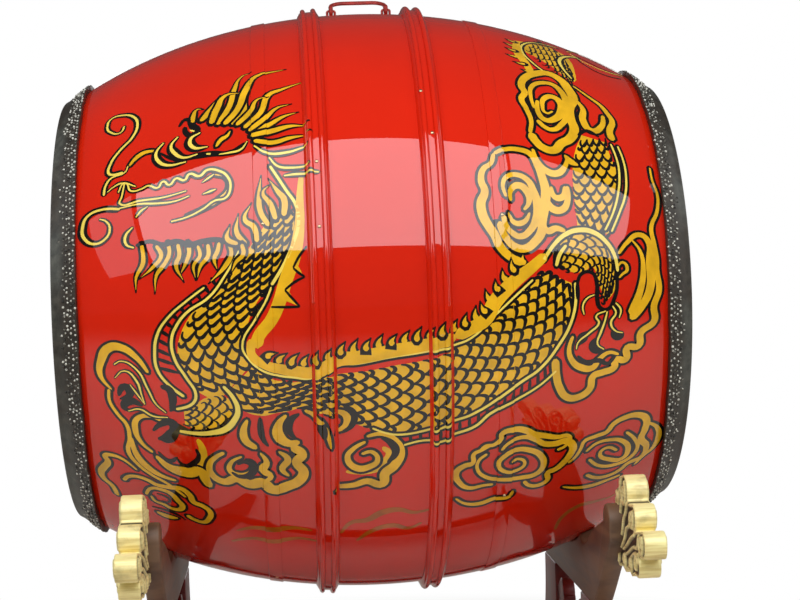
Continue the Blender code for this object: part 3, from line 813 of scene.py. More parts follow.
# Each row is a kind of stroke, its widths at the start, middle and end, and one or more lines, or
# else a pattern between or along lines with its counts and sizes
PAINTING = (
    ("pen", (8.3, 11.6, 11.6), (-428, 431, -435, 415, -453, 428, -460, 455, -452, 475, -432, 470, -412,
     450, -404, 419, -413, 387, -435, 362, -451, 334, -452, 308, -428, 302)),
    ("band", (3.3, 10, 3.3), (-418, 313, -404, 330, -390, 337, -369, 333)),
    ("pen", (10, 10, 5), (-462, 259, -459, 282, -449, 297, -425, 301, -419, 315)),
    ("pen", (5, 10, 5), (-456, 265, -445, 273, -431, 277, -405, 261)),
    ("pen", (6.6, 16.6, 6.6), (-356, 348, -369, 329, -366, 308, -349, 292, -317, 291), (-331, 354, -343,
     336, -336, 315, -320, 301, -297, 303)),
    ("pen", (6.6, 19.9, 5), (-292, 352, -309, 341, -304, 320, -279, 315)),
    ("over", (5, 14.9, 8.3), (-330, 379, -317, 394, -305, 372, -298, 359, -307, 350, -317, 359, -320,
     375)),
    ("over", (3.3, 14.9, 6.6), (-363, 326, -334, 301, -300, 300, -271, 298, -242, 294, -214, 310)),
    ("light", (3.3, 6.6, 3.3), (-310, 363, -302, 358)),
    ("band", (3.3, 8.3, 1.7), (-265, 312, -256, 326, -246, 332, -240, 342)),
    ("light", (3.3, 6.6, 3.3), (-282, 300, -274, 298)),
    ("pen", (5, 11.6, 3.3), (-260, 294, -242, 294, -223, 297, -211, 313)),
    ("tongue", (8, 10, 1), (-305, 381, -304, 398, -297, 413, -291, 411)),
    ("tongue", (10.6, 13.3, 1), (-291, 380, -273, 405, -259, 434)),
    ("tongue", (12, 14.9, 1), (-273, 368, -262, 405, -247, 435, -224, 434)),
    ("tongue", (10.6, 13.3, 1), (-262, 363, -241, 403, -232, 447, -218, 483, -207, 487)),
    ("tongue", (12, 14.9, 1), (-250, 360, -227, 391, -212, 440, -194, 472, -146, 481)),
    ("tongue", (9.3, 11.6, 1), (-237, 357, -218, 376, -212, 409, -208, 421), (-229, 353, -204, 381, -192,
     406, -178, 409)),
    ("tongue", (10.6, 13.3, 1), (-216, 344, -187, 373, -172, 416, -151, 425, -116, 437)),
    ("tongue", (9.3, 11.6, 1), (-208, 335, -182, 356, -158, 380, -139, 384), (-202, 330, -173, 343, -147,
     358, -127, 363)),
    ("tongue", (10.6, 13.3, 1), (-205, 323, -168, 328, -137, 334, -110, 331)),
    ("tongue", (9.3, 11.6, 1), (-200, 311, -169, 303, -137, 309, -106, 311)),
    ("pen", (6.6, 11.6, 6.6), (-436, 257, -425, 275, -413, 253, -395, 252, -383, 256, -366, 247, -357,
     258, -346, 248, -334, 259, -320, 252, -311, 263, -294, 255, -280, 265, -260, 259, -245, 243, -242,
     219, -250, 204, -269, 201, -289, 188, -318, 176, -344, 172)),
    ("band", (2.5, 6.6, 2.5), (-269, 254, -248, 243, -245, 220, -261, 203, -289, 188, -318, 178)),
    ("pen", (3.3, 10, 3.3), (-289, 241, -277, 249, -269, 254), (-289, 217, -275, 221, -266, 223)),
    ("pen", (6.6, 10, 5), (-425, 275, -430, 244, -433, 230, -398, 227, -357, 224, -317, 229), (-439, 220,
     -398, 220, -369, 214, -335, 212, -312, 218)),
    ("pen", (6.6, 10, 3.3), (-405, 193, -395, 205, -384, 211)),
    ("pen", (11.6, 14.9, 6.6), (-433, 218, -466, 227, -490, 221, -500, 197, -497, 169, -478, 152, -459,
     159, -451, 179, -458, 198, -469, 206)),
    ("pen", (6.6, 13.3, 6.6), (-411, 173, -423, 158, -422, 139, -409, 130)),
    ("tongue", (7, 10, 1), (-396, 136, -393, 112, -394, 96, -406, 71, -407, 46), (-370, 129, -362, 108,
     -377, 87, -397, 70), (-350, 132, -348, 110, -359, 89, -371, 71, -374, 41), (-333, 127, -331, 105,
     -337, 87, -326, 59), (-316, 128, -314, 109, -321, 88, -330, 70)),
    ("tongue", (5.8, 8.3, 1), (-299, 120, -296, 101, -307, 84, -305, 62)),
    ("tongue", (7, 10, 1), (-282, 121, -282, 100, -295, 83, -301, 62), (-263, 122, -266, 107, -272, 93,
     -268, 75), (-246, 118, -243, 100, -253, 80, -279, 53), (-225, 116, -223, 98, -236, 84, -243, 69)),
    ("over", (6.6, 11.6, 8.3), (-406, 134, -381, 139, -359, 129, -336, 132, -313, 123, -291, 127, -263,
     127, -246, 119)),
    ("tongue", (8, 10, 1), (-232, 116, -249, 127, -245, 148), (-218, 115, -233, 137, -230, 166)),
    ("tongue", (9.3, 11.6, 1), (-199, 117, -204, 144, -219, 160, -209, 184), (-179, 144, -192, 170, -194,
     197, -190, 233), (-167, 155, -175, 183, -187, 206, -177, 217)),
    ("tongue", (10.6, 13.3, 1), (-153, 160, -152, 190, -163, 207, -175, 227)),
    ("pen", (6.6, 11.6, 6.6), (-175, 273, -161, 254, -136, 248, -108, 249)),
    ("pen", (6.6, 13.3, 6.6), (-200, 300, -180, 283, -147, 279, -110, 288)),
    ("pen", (6.6, 11.6, 6.6), (-151, 234, -129, 235, -92, 231)),
    ("edge", (4.1, 5.8, 5), (-174, 256, -149, 208, -132, 176, -130, 141, -140, 110, -156, 76, -178, 41)),
    ("edge", (3.3, 4.1, 3.3), (-178, 38, -189, 13, -206, -15, -230, -63, -220, -86, -201, -104, -174,
     -114, -146, -118, -119, -120, -70, -97, -42, -96, 14, -87, 83, -79, 125, -71, 154, -60, 193, -25,
     262, 36)),
    ("edge", (3.3, 5, 5), (-225, 113, -236, 93, -253, 65, -282, 26, -322, -2, -340, -26, -349, -51, -345,
     -89, -327, -123, -312, -154, -318, -173, -347, -188), (-290, 43, -322, 19, -351, -7, -372, -39, -379,
     -77, -375, -113, -356, -141, -332, -161)),
    ("ladder", (-265, 52, -285, 28, -322, 3, -346, -26, -352, -51, -351, -89, -333, -123), (-273, 68,
     -293, 42, -322, 19, -351, -7, -372, -39, -379, -77, -372, -116), 12, 7),
    ("scales", (-124, 177, -128, 147), (-168, 163, -191, 133), 3, 19, 6),
    ("scales", (-127, 147, -143, 108, -165, 63, -194, 16, -216, -26, -225, -61, -218, -91, -199, -112),
     (-191, 134, -220, 94, -255, 51, -307, -1, -334, -48, -339, -90, -324, -129, -296, -153), 5, 20, 6.5),
    ("scales", (-205, -102, -169, -119, -136, -123, -103, -119, -61, -113, -19, -108, 28, -101, 75, -94,
     121, -78, 159, -56, 196, -31, 226, -1, 253, 30, 284, 57), (-267, -143, -235, -180, -183, -181, -134,
     -173, -84, -186, -29, -209, 26, -223, 82, -217, 142, -198, 201, -171, 253, -136, 300, -89, 327, -33,
     334, 19), 5, 20, 6.5),
    ("scales", (370, 329, 354, 282, 346, 236, 344, 190, 348, 146), (417, 350, 425, 301, 433, 254, 426,
     195, 403, 114), 4, 19, 6),
    ("scales", (300, 600, 311, 562, 331, 535, 353, 512, 371, 482), (334, 715, 348, 696, 364, 657, 375,
     598, 380, 534), 4, 14, 4),
    ("scales", (-330, -189, -306, -173, -281, -156, -258, -156, -245, -174), (-337, -217, -315, -229,
     -288, -228, -267, -221, -250, -206), 3, 13, 4.5),
    ("scales", (299, 68, 306, 98, 319, 115, 345, 126, 372, 124, 397, 105, 410, 69, 412, 41, 402, 9), (304,
     64, 321, 49, 341, 47, 361, 51, 370, 47, 377, 41, 380, 22, 381, -2, 386, -18), 4, 13, 4.5),
    ("fill", (8.3, 23.2, 19.9), (-122, 231, -125, 200, -128, 141, -138, 90, -154, 48, -167, 9, -180, -18,
     -202, -46, -208, -66)),
    ("fill", (14.9, 11.6, 1.7), (-152, 80, -136, 67, -125, 54)),
    ("fill", (18.3, 13.3, 1.7), (-166, 32, -150, 18, -135, 5)),
    ("over", (3.3, 4.6, 3.3), (-117, 105, -131, 87, -141, 69), (-141, 69, -132, 60, -122, 53), (-122, 53,
     -139, 45, -156, 32), (-156, 32, -143, 16, -132, 3), (-132, 3, -155, 3, -180, 4)),
    ("fill", (13.3, 23.2, 19.9), (-216, -51, -214, -80, -192, -96, -165, -104, -138, -108, -118, -110,
     -69, -88, -42, -86, 14, -77, 84, -67, 126, -57)),
    ("fill", (19.9, 26.6, 16.6), (126, -57, 154, -44, 177, -31, 194, -2, 230, 34, 263, 60, 287, 81)),
    ("fringe", (-200, -77, -178, -91, -151, -97, -121, -98, -69, -81, -41, -78, 14, -68, 84, -59, 126,
     -48, 155, -36, 178, -22, 194, 6, 227, 46, 257, 69), 24, 17, 9, 12),
    ("edge", (3.3, 5, 5), (-17, -212, 6, -222, 25, -226, 73, -221, 121, -207, 153, -198, 241, -145, 270,
     -127, 306, -84, 327, -46, 337, -3, 337, 29)),
    ("edge", (3.3, 5, 3.3), (36, -247, 62, -241, 96, -240, 121, -233, 159, -221, 183, -201, 226, -181,
     270, -158, 300, -134)),
    ("ladder", (39, -226, 73, -221, 121, -209, 153, -200, 226, -162, 270, -130, 297, -99), (39, -246, 73,
     -240, 121, -232, 153, -224, 226, -181, 270, -157, 300, -132), 17, 6),
    ("edge", (3.3, 4.1, 3.3), (439, 336, 446, 299, 447, 260, 441, 215, 426, 172, 409, 131), (426, 337,
     434, 295, 434, 257, 427, 213, 414, 170, 397, 133)),
    ("ladder", (432, 335, 439, 296, 439, 258, 432, 214, 419, 171, 403, 133), (441, 339, 447, 299, 448,
     261, 442, 216, 427, 172, 410, 131), 10, 5),
    ("edge", (5, 11.6, 5), (-265, -136, -249, -157, -242, -182, -249, -201, -264, -219, -287, -229, -315,
     -234, -347, -233)),
    ("ink", (5, 8.3, 5), (-359, -193, -347, -186, -324, -178, -316, -164)),
    ("ink", (5, 10, 5), (-362, -211, -346, -222, -326, -230)),
    ("over", (10, 16.6, 6.6), (-372, -143, -359, -147, -352, -168, -356, -192)),
    ("over", (6.6, 23.2, 6.6), (-382, -259, -362, -247, -352, -227, -360, -214)),
    ("band", (5, 18.3, 3.3), (-392, -118, -411, -89, -439, -69, -458, -71, -473, -98, -476, -135, -458,
     -162)),
    ("pen", (5, 10, 5), (-451, -106, -438, -98, -412, -113, -394, -152, -381, -182, -365, -197)),
    ("pen", (3.3, 10, 5), (-451, -135, -433, -118, -413, -137, -406, -164, -401, -185)),
    ("pen", (3.3, 8.3, 3.3), (-425, -146, -415, -162, -401, -185)),
    ("over", (5, 18.3, 3.3), (-447, -174, -434, -152, -426, -167, -445, -181)),
    ("over", (5, 19.9, 3.3), (-404, -189, -427, -182, -437, -199, -423, -203)),
    ("pen", (5, 10, 5), (-431, -205, -411, -197, -388, -208, -362, -207)),
    ("band", (5, 8.3, 5), (-463, -162, -463, -189, -450, -217, -436, -237, -432, -268, -436, -307, -419,
     -336, -397, -354, -371, -368, -341, -395)),
    ("band", (5, 11.6, 5), (-371, -217, -394, -209, -415, -218, -421, -245, -412, -274, -393, -293)),
    ("over", (5, 19.9, 5), (-390, -241, -376, -224, -357, -217, -353, -238, -365, -259, -382, -255)),
    ("band", (5, 14.9, 5), (-429, -267, -423, -306, -404, -335, -379, -350, -356, -354)),
    ("over", (3.3, 10, 5), (-384, -288, -365, -306, -350, -294)),
    ("band", (6.6, 24.9, 13.3), (-388, -300, -366, -322, -337, -327, -311, -321, -303, -340, -296, -355)),
    ("over", (3.3, 11.6, 5), (-353, -295, -339, -311, -322, -301, -313, -283, -317, -268)),
    ("gold", (8.3, 16.6, 10), (-313, -246, -306, -266, -307, -293, -314, -322)),
    ("band", (6.6, 21.6, 14.9), (-269, -269, -283, -280, -295, -299, -292, -323, -272, -336, -250, -325,
     -228, -335, -205, -329, -188, -342, -160, -331, -145, -321, -135, -300, -146, -278, -136, -262, -154,
     -246)),
    ("band", (3.3, 11.6, 3.3), (-239, -274, -257, -288, -260, -309, -245, -316, -226, -307, -221, -289,
     -230, -282)),
    ("band", (5, 14.9, 5), (-207, -263, -197, -281, -204, -299, -191, -312, -205, -326), (-176, -258,
     -161, -273, -171, -296, -160, -310)),
    ("over", (5, 14.9, 5), (-248, -292, -235, -285, -221, -292, -224, -310, -245, -319, -258, -311)),
    ("band", (5, 14.9, 10), (-227, -198, -234, -220, -231, -240, -213, -255)),
    ("over", (6.6, 13.3, 5), (-205, -192, -205, -213, -202, -233, -193, -248)),
    ("band", (5, 19.9, 10), (-161, -186, -174, -204, -175, -226, -158, -241, -140, -238)),
    ("over", (5, 16.6, 3.3), (-139, -183, -154, -196, -157, -216, -145, -233)),
    ("band", (5, 13.3, 3.3), (-130, -177, -115, -185, -103, -199, -92, -221, -88, -242)),
    ("over", (5, 14.9, 3.3), (-114, -197, -101, -206, -95, -226), (-65, -168, -48, -183, -53, -207, -68,
     -217)),
    ("band", (5, 14.9, 5), (-80, -177, -61, -187, -61, -204, -77, -216)),
    ("band", (5, 18.3, 8.3), (-27, -227, 0, -223, 20, -235, 31, -258, 20, -287, 4, -303, -1, -326, -27,
     -319, -50, -327, -81, -330)),
    ("band", (5, 13.3, 5), (-29, -237, -49, -250, -60, -268, -45, -290, -23, -288, -9, -275, -18, -258,
     -36, -261)),
    ("over", (5, 16.6, 5), (-4, -228, 15, -242, 22, -260, 8, -281)),
    ("gold", (8.3, 19.9, 6.6), (0, -249, 11, -262, 0, -283, -27, -296, -63, -298)),
    ("edge", (5, 10, 5), (281, 69, 303, 101, 325, 121, 349, 130, 373, 128, 397, 110, 412, 81, 416, 50)),
    ("edge", (5, 6.6, 5), (304, 60, 311, 81, 324, 100)),
    ("over", (5, 8.3, 6.6), (340, -3, 341, 28, 351, 47, 369, 47, 376, 28, 376, -5, 381, -21, 394, -25,
     407, -6, 414, 27, 412, 50)),
    ("band", (3.3, 6.6, 3.3), (416, 60, 426, 69, 434, 54, 424, 44, 418, 37)),
    ("pen", (5, 8.3, 5), (351, -32, 349, -16, 358, -1, 371, 5)),
    ("pen", (6.6, 10, 5), (391, -28, 373, -37, 378, -50, 360, -68, 339, -85, 336, -97), (394, -29, 388,
     -51, 381, -70, 375, -92, 387, -104), (404, -19, 410, -33, 400, -52, 409, -70, 422, -75)),
    ("pen", (6.6, 8.3, 5), (410, -13, 419, -27, 416, -44)),
    ("over", (5, 19.9, 6.6), (360, -64, 348, -76, 337, -91)),
    ("over", (6.6, 21.6, 3.3), (378, -76, 369, -95, 378, -106, 387, -104)),
    ("over", (6.6, 19.9, 3.3), (406, -60, 409, -77, 418, -82, 423, -72)),
    ("band", (5, 16.6, 14.9), (419, 86, 437, 111, 461, 130, 476, 121, 479, 69, 476, 11, 459, -24, 438,
     -49)),
    ("band", (3.3, 11.6, 14.9), (447, 116, 460, 97, 465, 54, 456, 5, 438, -39)),
    ("band", (3.3, 13.3, 13.3), (497, 302, 498, 270, 505, 232, 500, 189, 486, 150, 489, 112, 492, 77, 491,
     55, 494, 10, 483, -26, 483, -59, 457, -80, 452, -108, 431, -108, 428, -132, 409, -130, 406, -145,
     385, -151, 368, -155, 361, -181, 342, -193, 321, -190, 306, -167, 300, -140, 298, -111)),
    ("band", (5, 13.3, 5), (330, -71, 323, -96, 329, -119, 345, -134, 366, -138, 378, -123, 397, -112,
     415, -119)),
    ("over", (5, 10, 5), (338, -110, 354, -124, 378, -125, 394, -134, 409, -121)),
    ("band", (6.6, 19.9, 14.9), (277, 325, 282, 354, 276, 385, 270, 409, 278, 429, 274, 447, 283, 475,
     305, 499, 331, 512, 351, 501, 362, 475, 368, 445, 357, 410, 356, 380, 360, 354, 349, 326, 332, 311,
     316, 292, 297, 295, 285, 308, 277, 325)),
    ("band", (5, 13.3, 8.3), (291, 389, 288, 421, 293, 451, 313, 471, 334, 474, 348, 456, 353, 428, 351,
     389, 338, 360, 318, 341, 305, 345, 293, 359)),
    ("band", (6.6, 16.6, 3.3), (299, 413, 298, 377, 309, 363, 326, 370, 341, 395, 341, 423, 329, 433, 314,
     424, 307, 401, 312, 382, 325, 390)),
    ("band", (5, 14.9, 5), (278, 289, 285, 262, 298, 245, 316, 241, 333, 258, 341, 283)),
    ("band", (5, 13.3, 6.6), (335, 285, 345, 272, 358, 266)),
    ("band", (5, 14.9, 6.6), (292, 233, 293, 201, 301, 171, 319, 167, 333, 190, 334, 217)),
    ("band", (5, 13.3, 6.6), (304, 213, 310, 192, 324, 194, 330, 216)),
    ("band", (5, 13.3, 8.3), (286, 150, 291, 126, 308, 131, 324, 127)),
    ("band", (6.6, 18.3, 11.6), (208, 270, 227, 281, 252, 284, 273, 277, 283, 256, 290, 230, 294, 201,
     289, 170, 283, 142, 282, 125, 269, 105, 250, 92, 232, 96, 219, 110, 211, 128, 209, 140)),
    ("band", (6.6, 16.6, 13.3), (208, 270, 201, 250, 188, 239, 182, 217, 187, 195, 179, 173, 181, 151,
     189, 133, 199, 116, 207, 96, 224, 77, 247, 65)),
    ("band", (5, 14.9, 8.3), (223, 186, 219, 209, 228, 226, 244, 231, 263, 222, 272, 202, 277, 177, 273,
     147, 261, 125, 244, 114, 229, 121, 219, 135, 216, 152)),
    ("band", (5, 14.9, 5), (231, 179, 232, 199, 247, 210, 261, 198, 262, 176, 253, 163)),
    ("band", (3.3, 11.6, 3.3), (225, 157, 235, 139, 252, 141, 263, 159)),
    ("band", (3.3, 10, 13.3), (374, 490, 389, 476, 405, 462, 420, 449, 430, 429, 437, 408, 428, 372, 430,
     348)),
    ("band", (6.6, 14.9, 6.6), (369, 447, 383, 421, 380, 382, 392, 361, 414, 381, 421, 416)),
    ("over", (5, 8.3, 5), (365, 339, 384, 357, 406, 348)),
    ("edge", (3.3, 4.1, 3.3), (368, 485, 329, 511, 304, 544, 291, 586, 302, 638, 335, 677, 369, 688)),
    ("edge", (3.3, 6.6, 3.3), (375, 518, 363, 555, 362, 593, 383, 639, 406, 663)),
    ("fringe", (304, 491, 291, 525, 279, 571, 285, 644), 6, 16, 6, 9),
    ("fill", (13.3, 18.3, 11.6), (299, 494, 292, 531, 282, 573, 287, 636)),
    ("over", (3.3, 4.1, 3.3), (401, 666, 418, 618, 446, 608, 486, 642), (397, 678, 424, 665, 452, 657,
     491, 679), (393, 692, 438, 766, 467, 762, 502, 756), (389, 708, 438, 764, 467, 760, 502, 755)),
    ("light", (2.5, 4.1, 2.5), (393, 673, 421, 642, 457, 645, 496, 690), (389, 688, 438, 766, 479, 760,
     505, 755)),
    ("band", (5, 13.3, 5), (166, -274, 177, -264, 191, -264, 204, -252, 204, -244, 229, -238, 248, -244,
     262, -255, 281, -262, 305, -271, 324, -273, 329, -281, 320, -296, 306, -301)),
    ("band", (5, 14.9, 6.6), (205, -277, 216, -265, 244, -257, 267, -268, 282, -280, 303, -285, 320, -284,
     335, -301, 331, -319, 318, -337, 304, -348, 292, -351, 291, -371, 275, -379, 258, -373, 248, -360)),
    ("band", (5, 11.6, 5), (188, -263, 170, -272, 157, -278, 155, -297, 141, -301, 127, -313, 133, -338,
     150, -353, 177, -352, 193, -353), (180, -281, 166, -293, 164, -313, 181, -334, 209, -344, 242, -349,
     271, -347, 282, -331, 276, -305, 256, -288, 230, -282, 212, -290, 201, -305, 213, -326, 237, -328,
     248, -316, 236, -303, 224, -307)),
    ("band", (3.3, 10, 6.6), (127, -375, 144, -391, 170, -397, 197, -390, 223, -391, 230, -379)),
    ("band", (5, 14.9, 6.6), (328, -340, 341, -329, 350, -312, 356, -296, 378, -291, 398, -288, 409, -274,
     431, -266, 457, -270, 474, -289, 473, -317, 467, -339, 480, -371, 472, -399, 446, -401, 432, -412,
     412, -416, 386, -408, 365, -388)),
    ("band", (5, 13.3, 5), (480, -302, 497, -324, 503, -363, 492, -389, 477, -399, 460, -416)),
    ("band", (5, 11.6, 5), (360, -323, 379, -310, 404, -311, 430, -326, 443, -359, 434, -377, 408, -366,
     388, -338, 400, -330, 421, -347)),
    ("band", (5, 10, 5), (367, -346, 389, -374, 420, -388, 447, -386, 461, -367, 453, -331, 436, -305)),
    ("band", (3.3, 10, 6.6), (322, -402, 348, -418, 378, -428, 408, -430, 434, -431)),
    ("band", (3.3, 13.3, 8.3), (-424, -350, -448, -330, -467, -327, -480, -334, -476, -349, -485, -372,
     -491, -389, -488, -410, -474, -425, -466, -455)),
    ("band", (6.6, 11.6, 8.3), (-451, -393, -442, -377, -426, -369, -407, -371, -392, -378, -370, -377,
     -348, -374, -334, -387, -328, -405, -313, -411, -301, -423, -304, -449, -315, -463, -331, -460, -343,
     -452)),
    ("band", (5, 11.6, 5), (-413, -417, -402, -393, -386, -389, -368, -394, -356, -411, -349, -424, -355,
     -438, -368, -441, -383, -434, -398, -430, -404, -417)),
    ("over", (3.3, 6.6, 2.5), (-393, -405, -381, -406, -371, -414, -375, -424, -385, -423)),
    ("band", (8.3, 14.9, 6.6), (-397, -468, -385, -472, -372, -473, -360, -470)),
    ("over", (3.3, 8.3, 3.3), (-405, -453, -387, -453, -369, -454, -352, -463, -345, -470)),
    # Clouds low on the barrel, in the darker gold of painted shade
    ("faint", (5, 14.9, 5), (-73, -452, -55, -421, -27, -414, 0, -395, 27, -390, 55, -400, 82, -396)),
    ("faint", (5, 13.3, 5), (-45, -476, -18, -445, 19, -432, 46, -443, 69, -430)),
    ("faint", (5, 14.9, 5), (-256, -471, -228, -454, -192, -451, -155, -441, -123, -446)),
    ("faint", (5, 13.3, 5), (-267, -513, -229, -490, -193, -490, -146, -473, -114, -479), (321, -557, 331,
     -508, 359, -487, 394, -496, 426, -503, 440, -496)),
)


def brush_strokes():
    makers = {"scales": scales, "ladder": ladder, "fringe": fringe}
    for kind, *values in PAINTING:
        values = [list(zip(v[::2], v[1::2])) if isinstance(v, tuple) and len(v) > 3 else v for v in values]
        if kind in makers:
            yield from makers[kind](*values)
        else:
            yield from ((kind, values[0], line) for line in values[1:])


def rounded(spots):
    """The ends of a line of (place, width) drawn in, where the stroke is broad there."""
    for _ in range(2):
        spots = spots[::-1]
        (inside, _), (end, width) = spots[-2:]
        gap = math.dist(inside, end)
        if width > 3 and gap > 0.8 * width:
            spots[-1:] = [(mix(end, inside, 0.4 * width / gap), width), (end, 0.4 * width)]
    return spots


def brush(strokes):
    """Flat ribbons in the plane, each with its lift, widths and points in millimetres."""
    nib = polyline("2D", [(-0.5, 0, 0), (0.5, 0, 0)])
    pen = blank_curve("3D")
    pen.data.twist_mode = "Z_UP"
    for lift, widths, points in strokes:
        reach = [0.0]
        for a, b in zip(points, points[1:]):
            reach.append(reach[-1] + math.dist(a, b))
        spots = []
        for k, place in enumerate(points):
            if len(widths) == len(points) and len(points) > 3:
                width = widths[k]
            else:
                share = reach[k] / reach[-1] * 2
                first = 0 if share < 1 else 1
                width = mix(widths[first:], widths[first + 1:], share - first)[0]
            spots.append((place, width))
        spots = rounded(spots)
        spline = pen.data.splines.new("BEZIER")
        spline.bezier_points.add(len(spots) - 1)
        spline.radius_interpolation = "CARDINAL"
        spline.resolution_u = 4 if len(points) == 5 else 6
        for point, (place, width) in zip(spline.bezier_points, spots):
            point.co = (place[0] / 1000, place[1] / 1000, lift / 1000)
            point.radius = width / 1000
            point.handle_left_type = point.handle_right_type = "AUTO"
    pen.data.bevel_mode = "OBJECT"
    pen.data.bevel_object = nib
    pick(pen)
    bpy.ops.object.convert(target="MESH")
    bpy.data.objects.remove(nib)
    return bpy.context.object


def cut(obj, places, axis):
    """Cut a flat mesh across at each place."""
    pick(obj)
    edit_all()
    for place in places:
        bpy.ops.mesh.select_all(action="SELECT")
        co, no = [0.0, 0.0, 0.0], [0.0, 0.0, 0.0]
        co[axis], no[axis] = place, 1.0
        bpy.ops.mesh.bisect(plane_co=co, plane_no=no)
    bpy.ops.mesh.select_all(action="SELECT")
    bpy.ops.mesh.remove_doubles(threshold=0.000005)
    leave_edit()


def lay_on(obj):
    """Wrap a flat mesh of (along, around, lift) round the front of the shell."""
    belly = sizes().belly_radius
    for vertex in obj.data.vertices:
        x, around, lift = vertex.co
        angle = around / belly
        radius = curve_radius(x) + relief(x) + lift
        vertex.co = AXIS + Vector((x, -radius * math.cos(angle), radius * math.sin(angle)))
    modify(obj, "SOLIDIFY", thickness=PAINT_THICKNESS, offset=-1.0)
    soften(35)


class BuildBarrel(bpy.types.Operator):
    """Turn the smooth lacquered shell that stands for the staves"""
    bl_idname = "temple_drum.build_barrel"
    bl_label = "Barrel"

    def execute(self, context):
        s = sizes()
        steps = BARREL_STEPS
        outer = [(x, curve_radius(x)) for x in (s.half_length * (2 * k / steps - 1) for k in range(steps + 1))]
        inner = [(x, radius - BARREL_WALL) for x, radius in outer[::-4]]
        barrel = turn(outer + inner + outer[:1], s.facets)
        settle(barrel, "lacquered_barrel", "drum", "red_lacquer")
        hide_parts(*[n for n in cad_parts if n.startswith("stave_")])
        return {"FINISHED"}


class BuildHoops(bpy.types.Operator):
    """Turn the two belly bands with their ribs, and the two flat hoops"""
    bl_idname = "temple_drum.build_hoops"
    bl_label = "Bands and hoops"

    def execute(self, context):
        facets = sizes().facets
        for side, middle in band_middles():
            core = turn(on_shell(middle, band_section()), facets)
            settle(core, f"{side}_band", "drum", "red_lacquer")
            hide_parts(f"belly_band_{side}_core")
            for rib_side, rib in rib_middles():
                bead = turn(on_shell(middle, rib_section(rib)), facets)
                settle(bead, f"{side}_band_{rib_side}_rib", "drum", "red_lacquer")
                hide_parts(f"belly_band_{side}_rib_{rib_side}")
        for side, middle in hoop_middles():
            hoop = turn(on_shell(middle, hoop_section()), facets)
            settle(hoop, f"{side}_flat_hoop", "drum", "red_lacquer")
            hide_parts(f"flat_hoop_{side}")
        self.set_nails()
        return {"FINISHED"}

    def set_nails(self):
        """Low nail heads in the bands and hoops, the same on the front and the back."""
        pattern = dome(14, 8, NAIL_RADIUS, -0.0004)
        nails = []
        for middle, angle in NAILS:
            height = curve_radius(middle) + relief(middle)
            for turned in (0, 180):
                pick(pattern)
                bpy.ops.object.duplicate()
                nail = bpy.context.object
                lift = Matrix.Translation((0, 0, height)) @ Matrix.Diagonal((1, 1, NAIL_FLATNESS, 1))
                tilt = Matrix.Rotation(math.radians(90 - angle), 4, "X")
                about = Matrix.Rotation(math.radians(turned), 4, "Z") @ Matrix.Translation((middle, 0, 0))
                nail.matrix_world = Matrix.Translation(AXIS) @ about @ tilt @ lift
                nails.append(nail)
        bpy.data.objects.remove(pattern)
        pick(nails[0])
        for nail in nails:
            nail.select_set(True)
        bpy.ops.object.join()
        settle(bpy.context.object, "nail_heads", "drum", "nails", "bare_iron")
        soften(50)


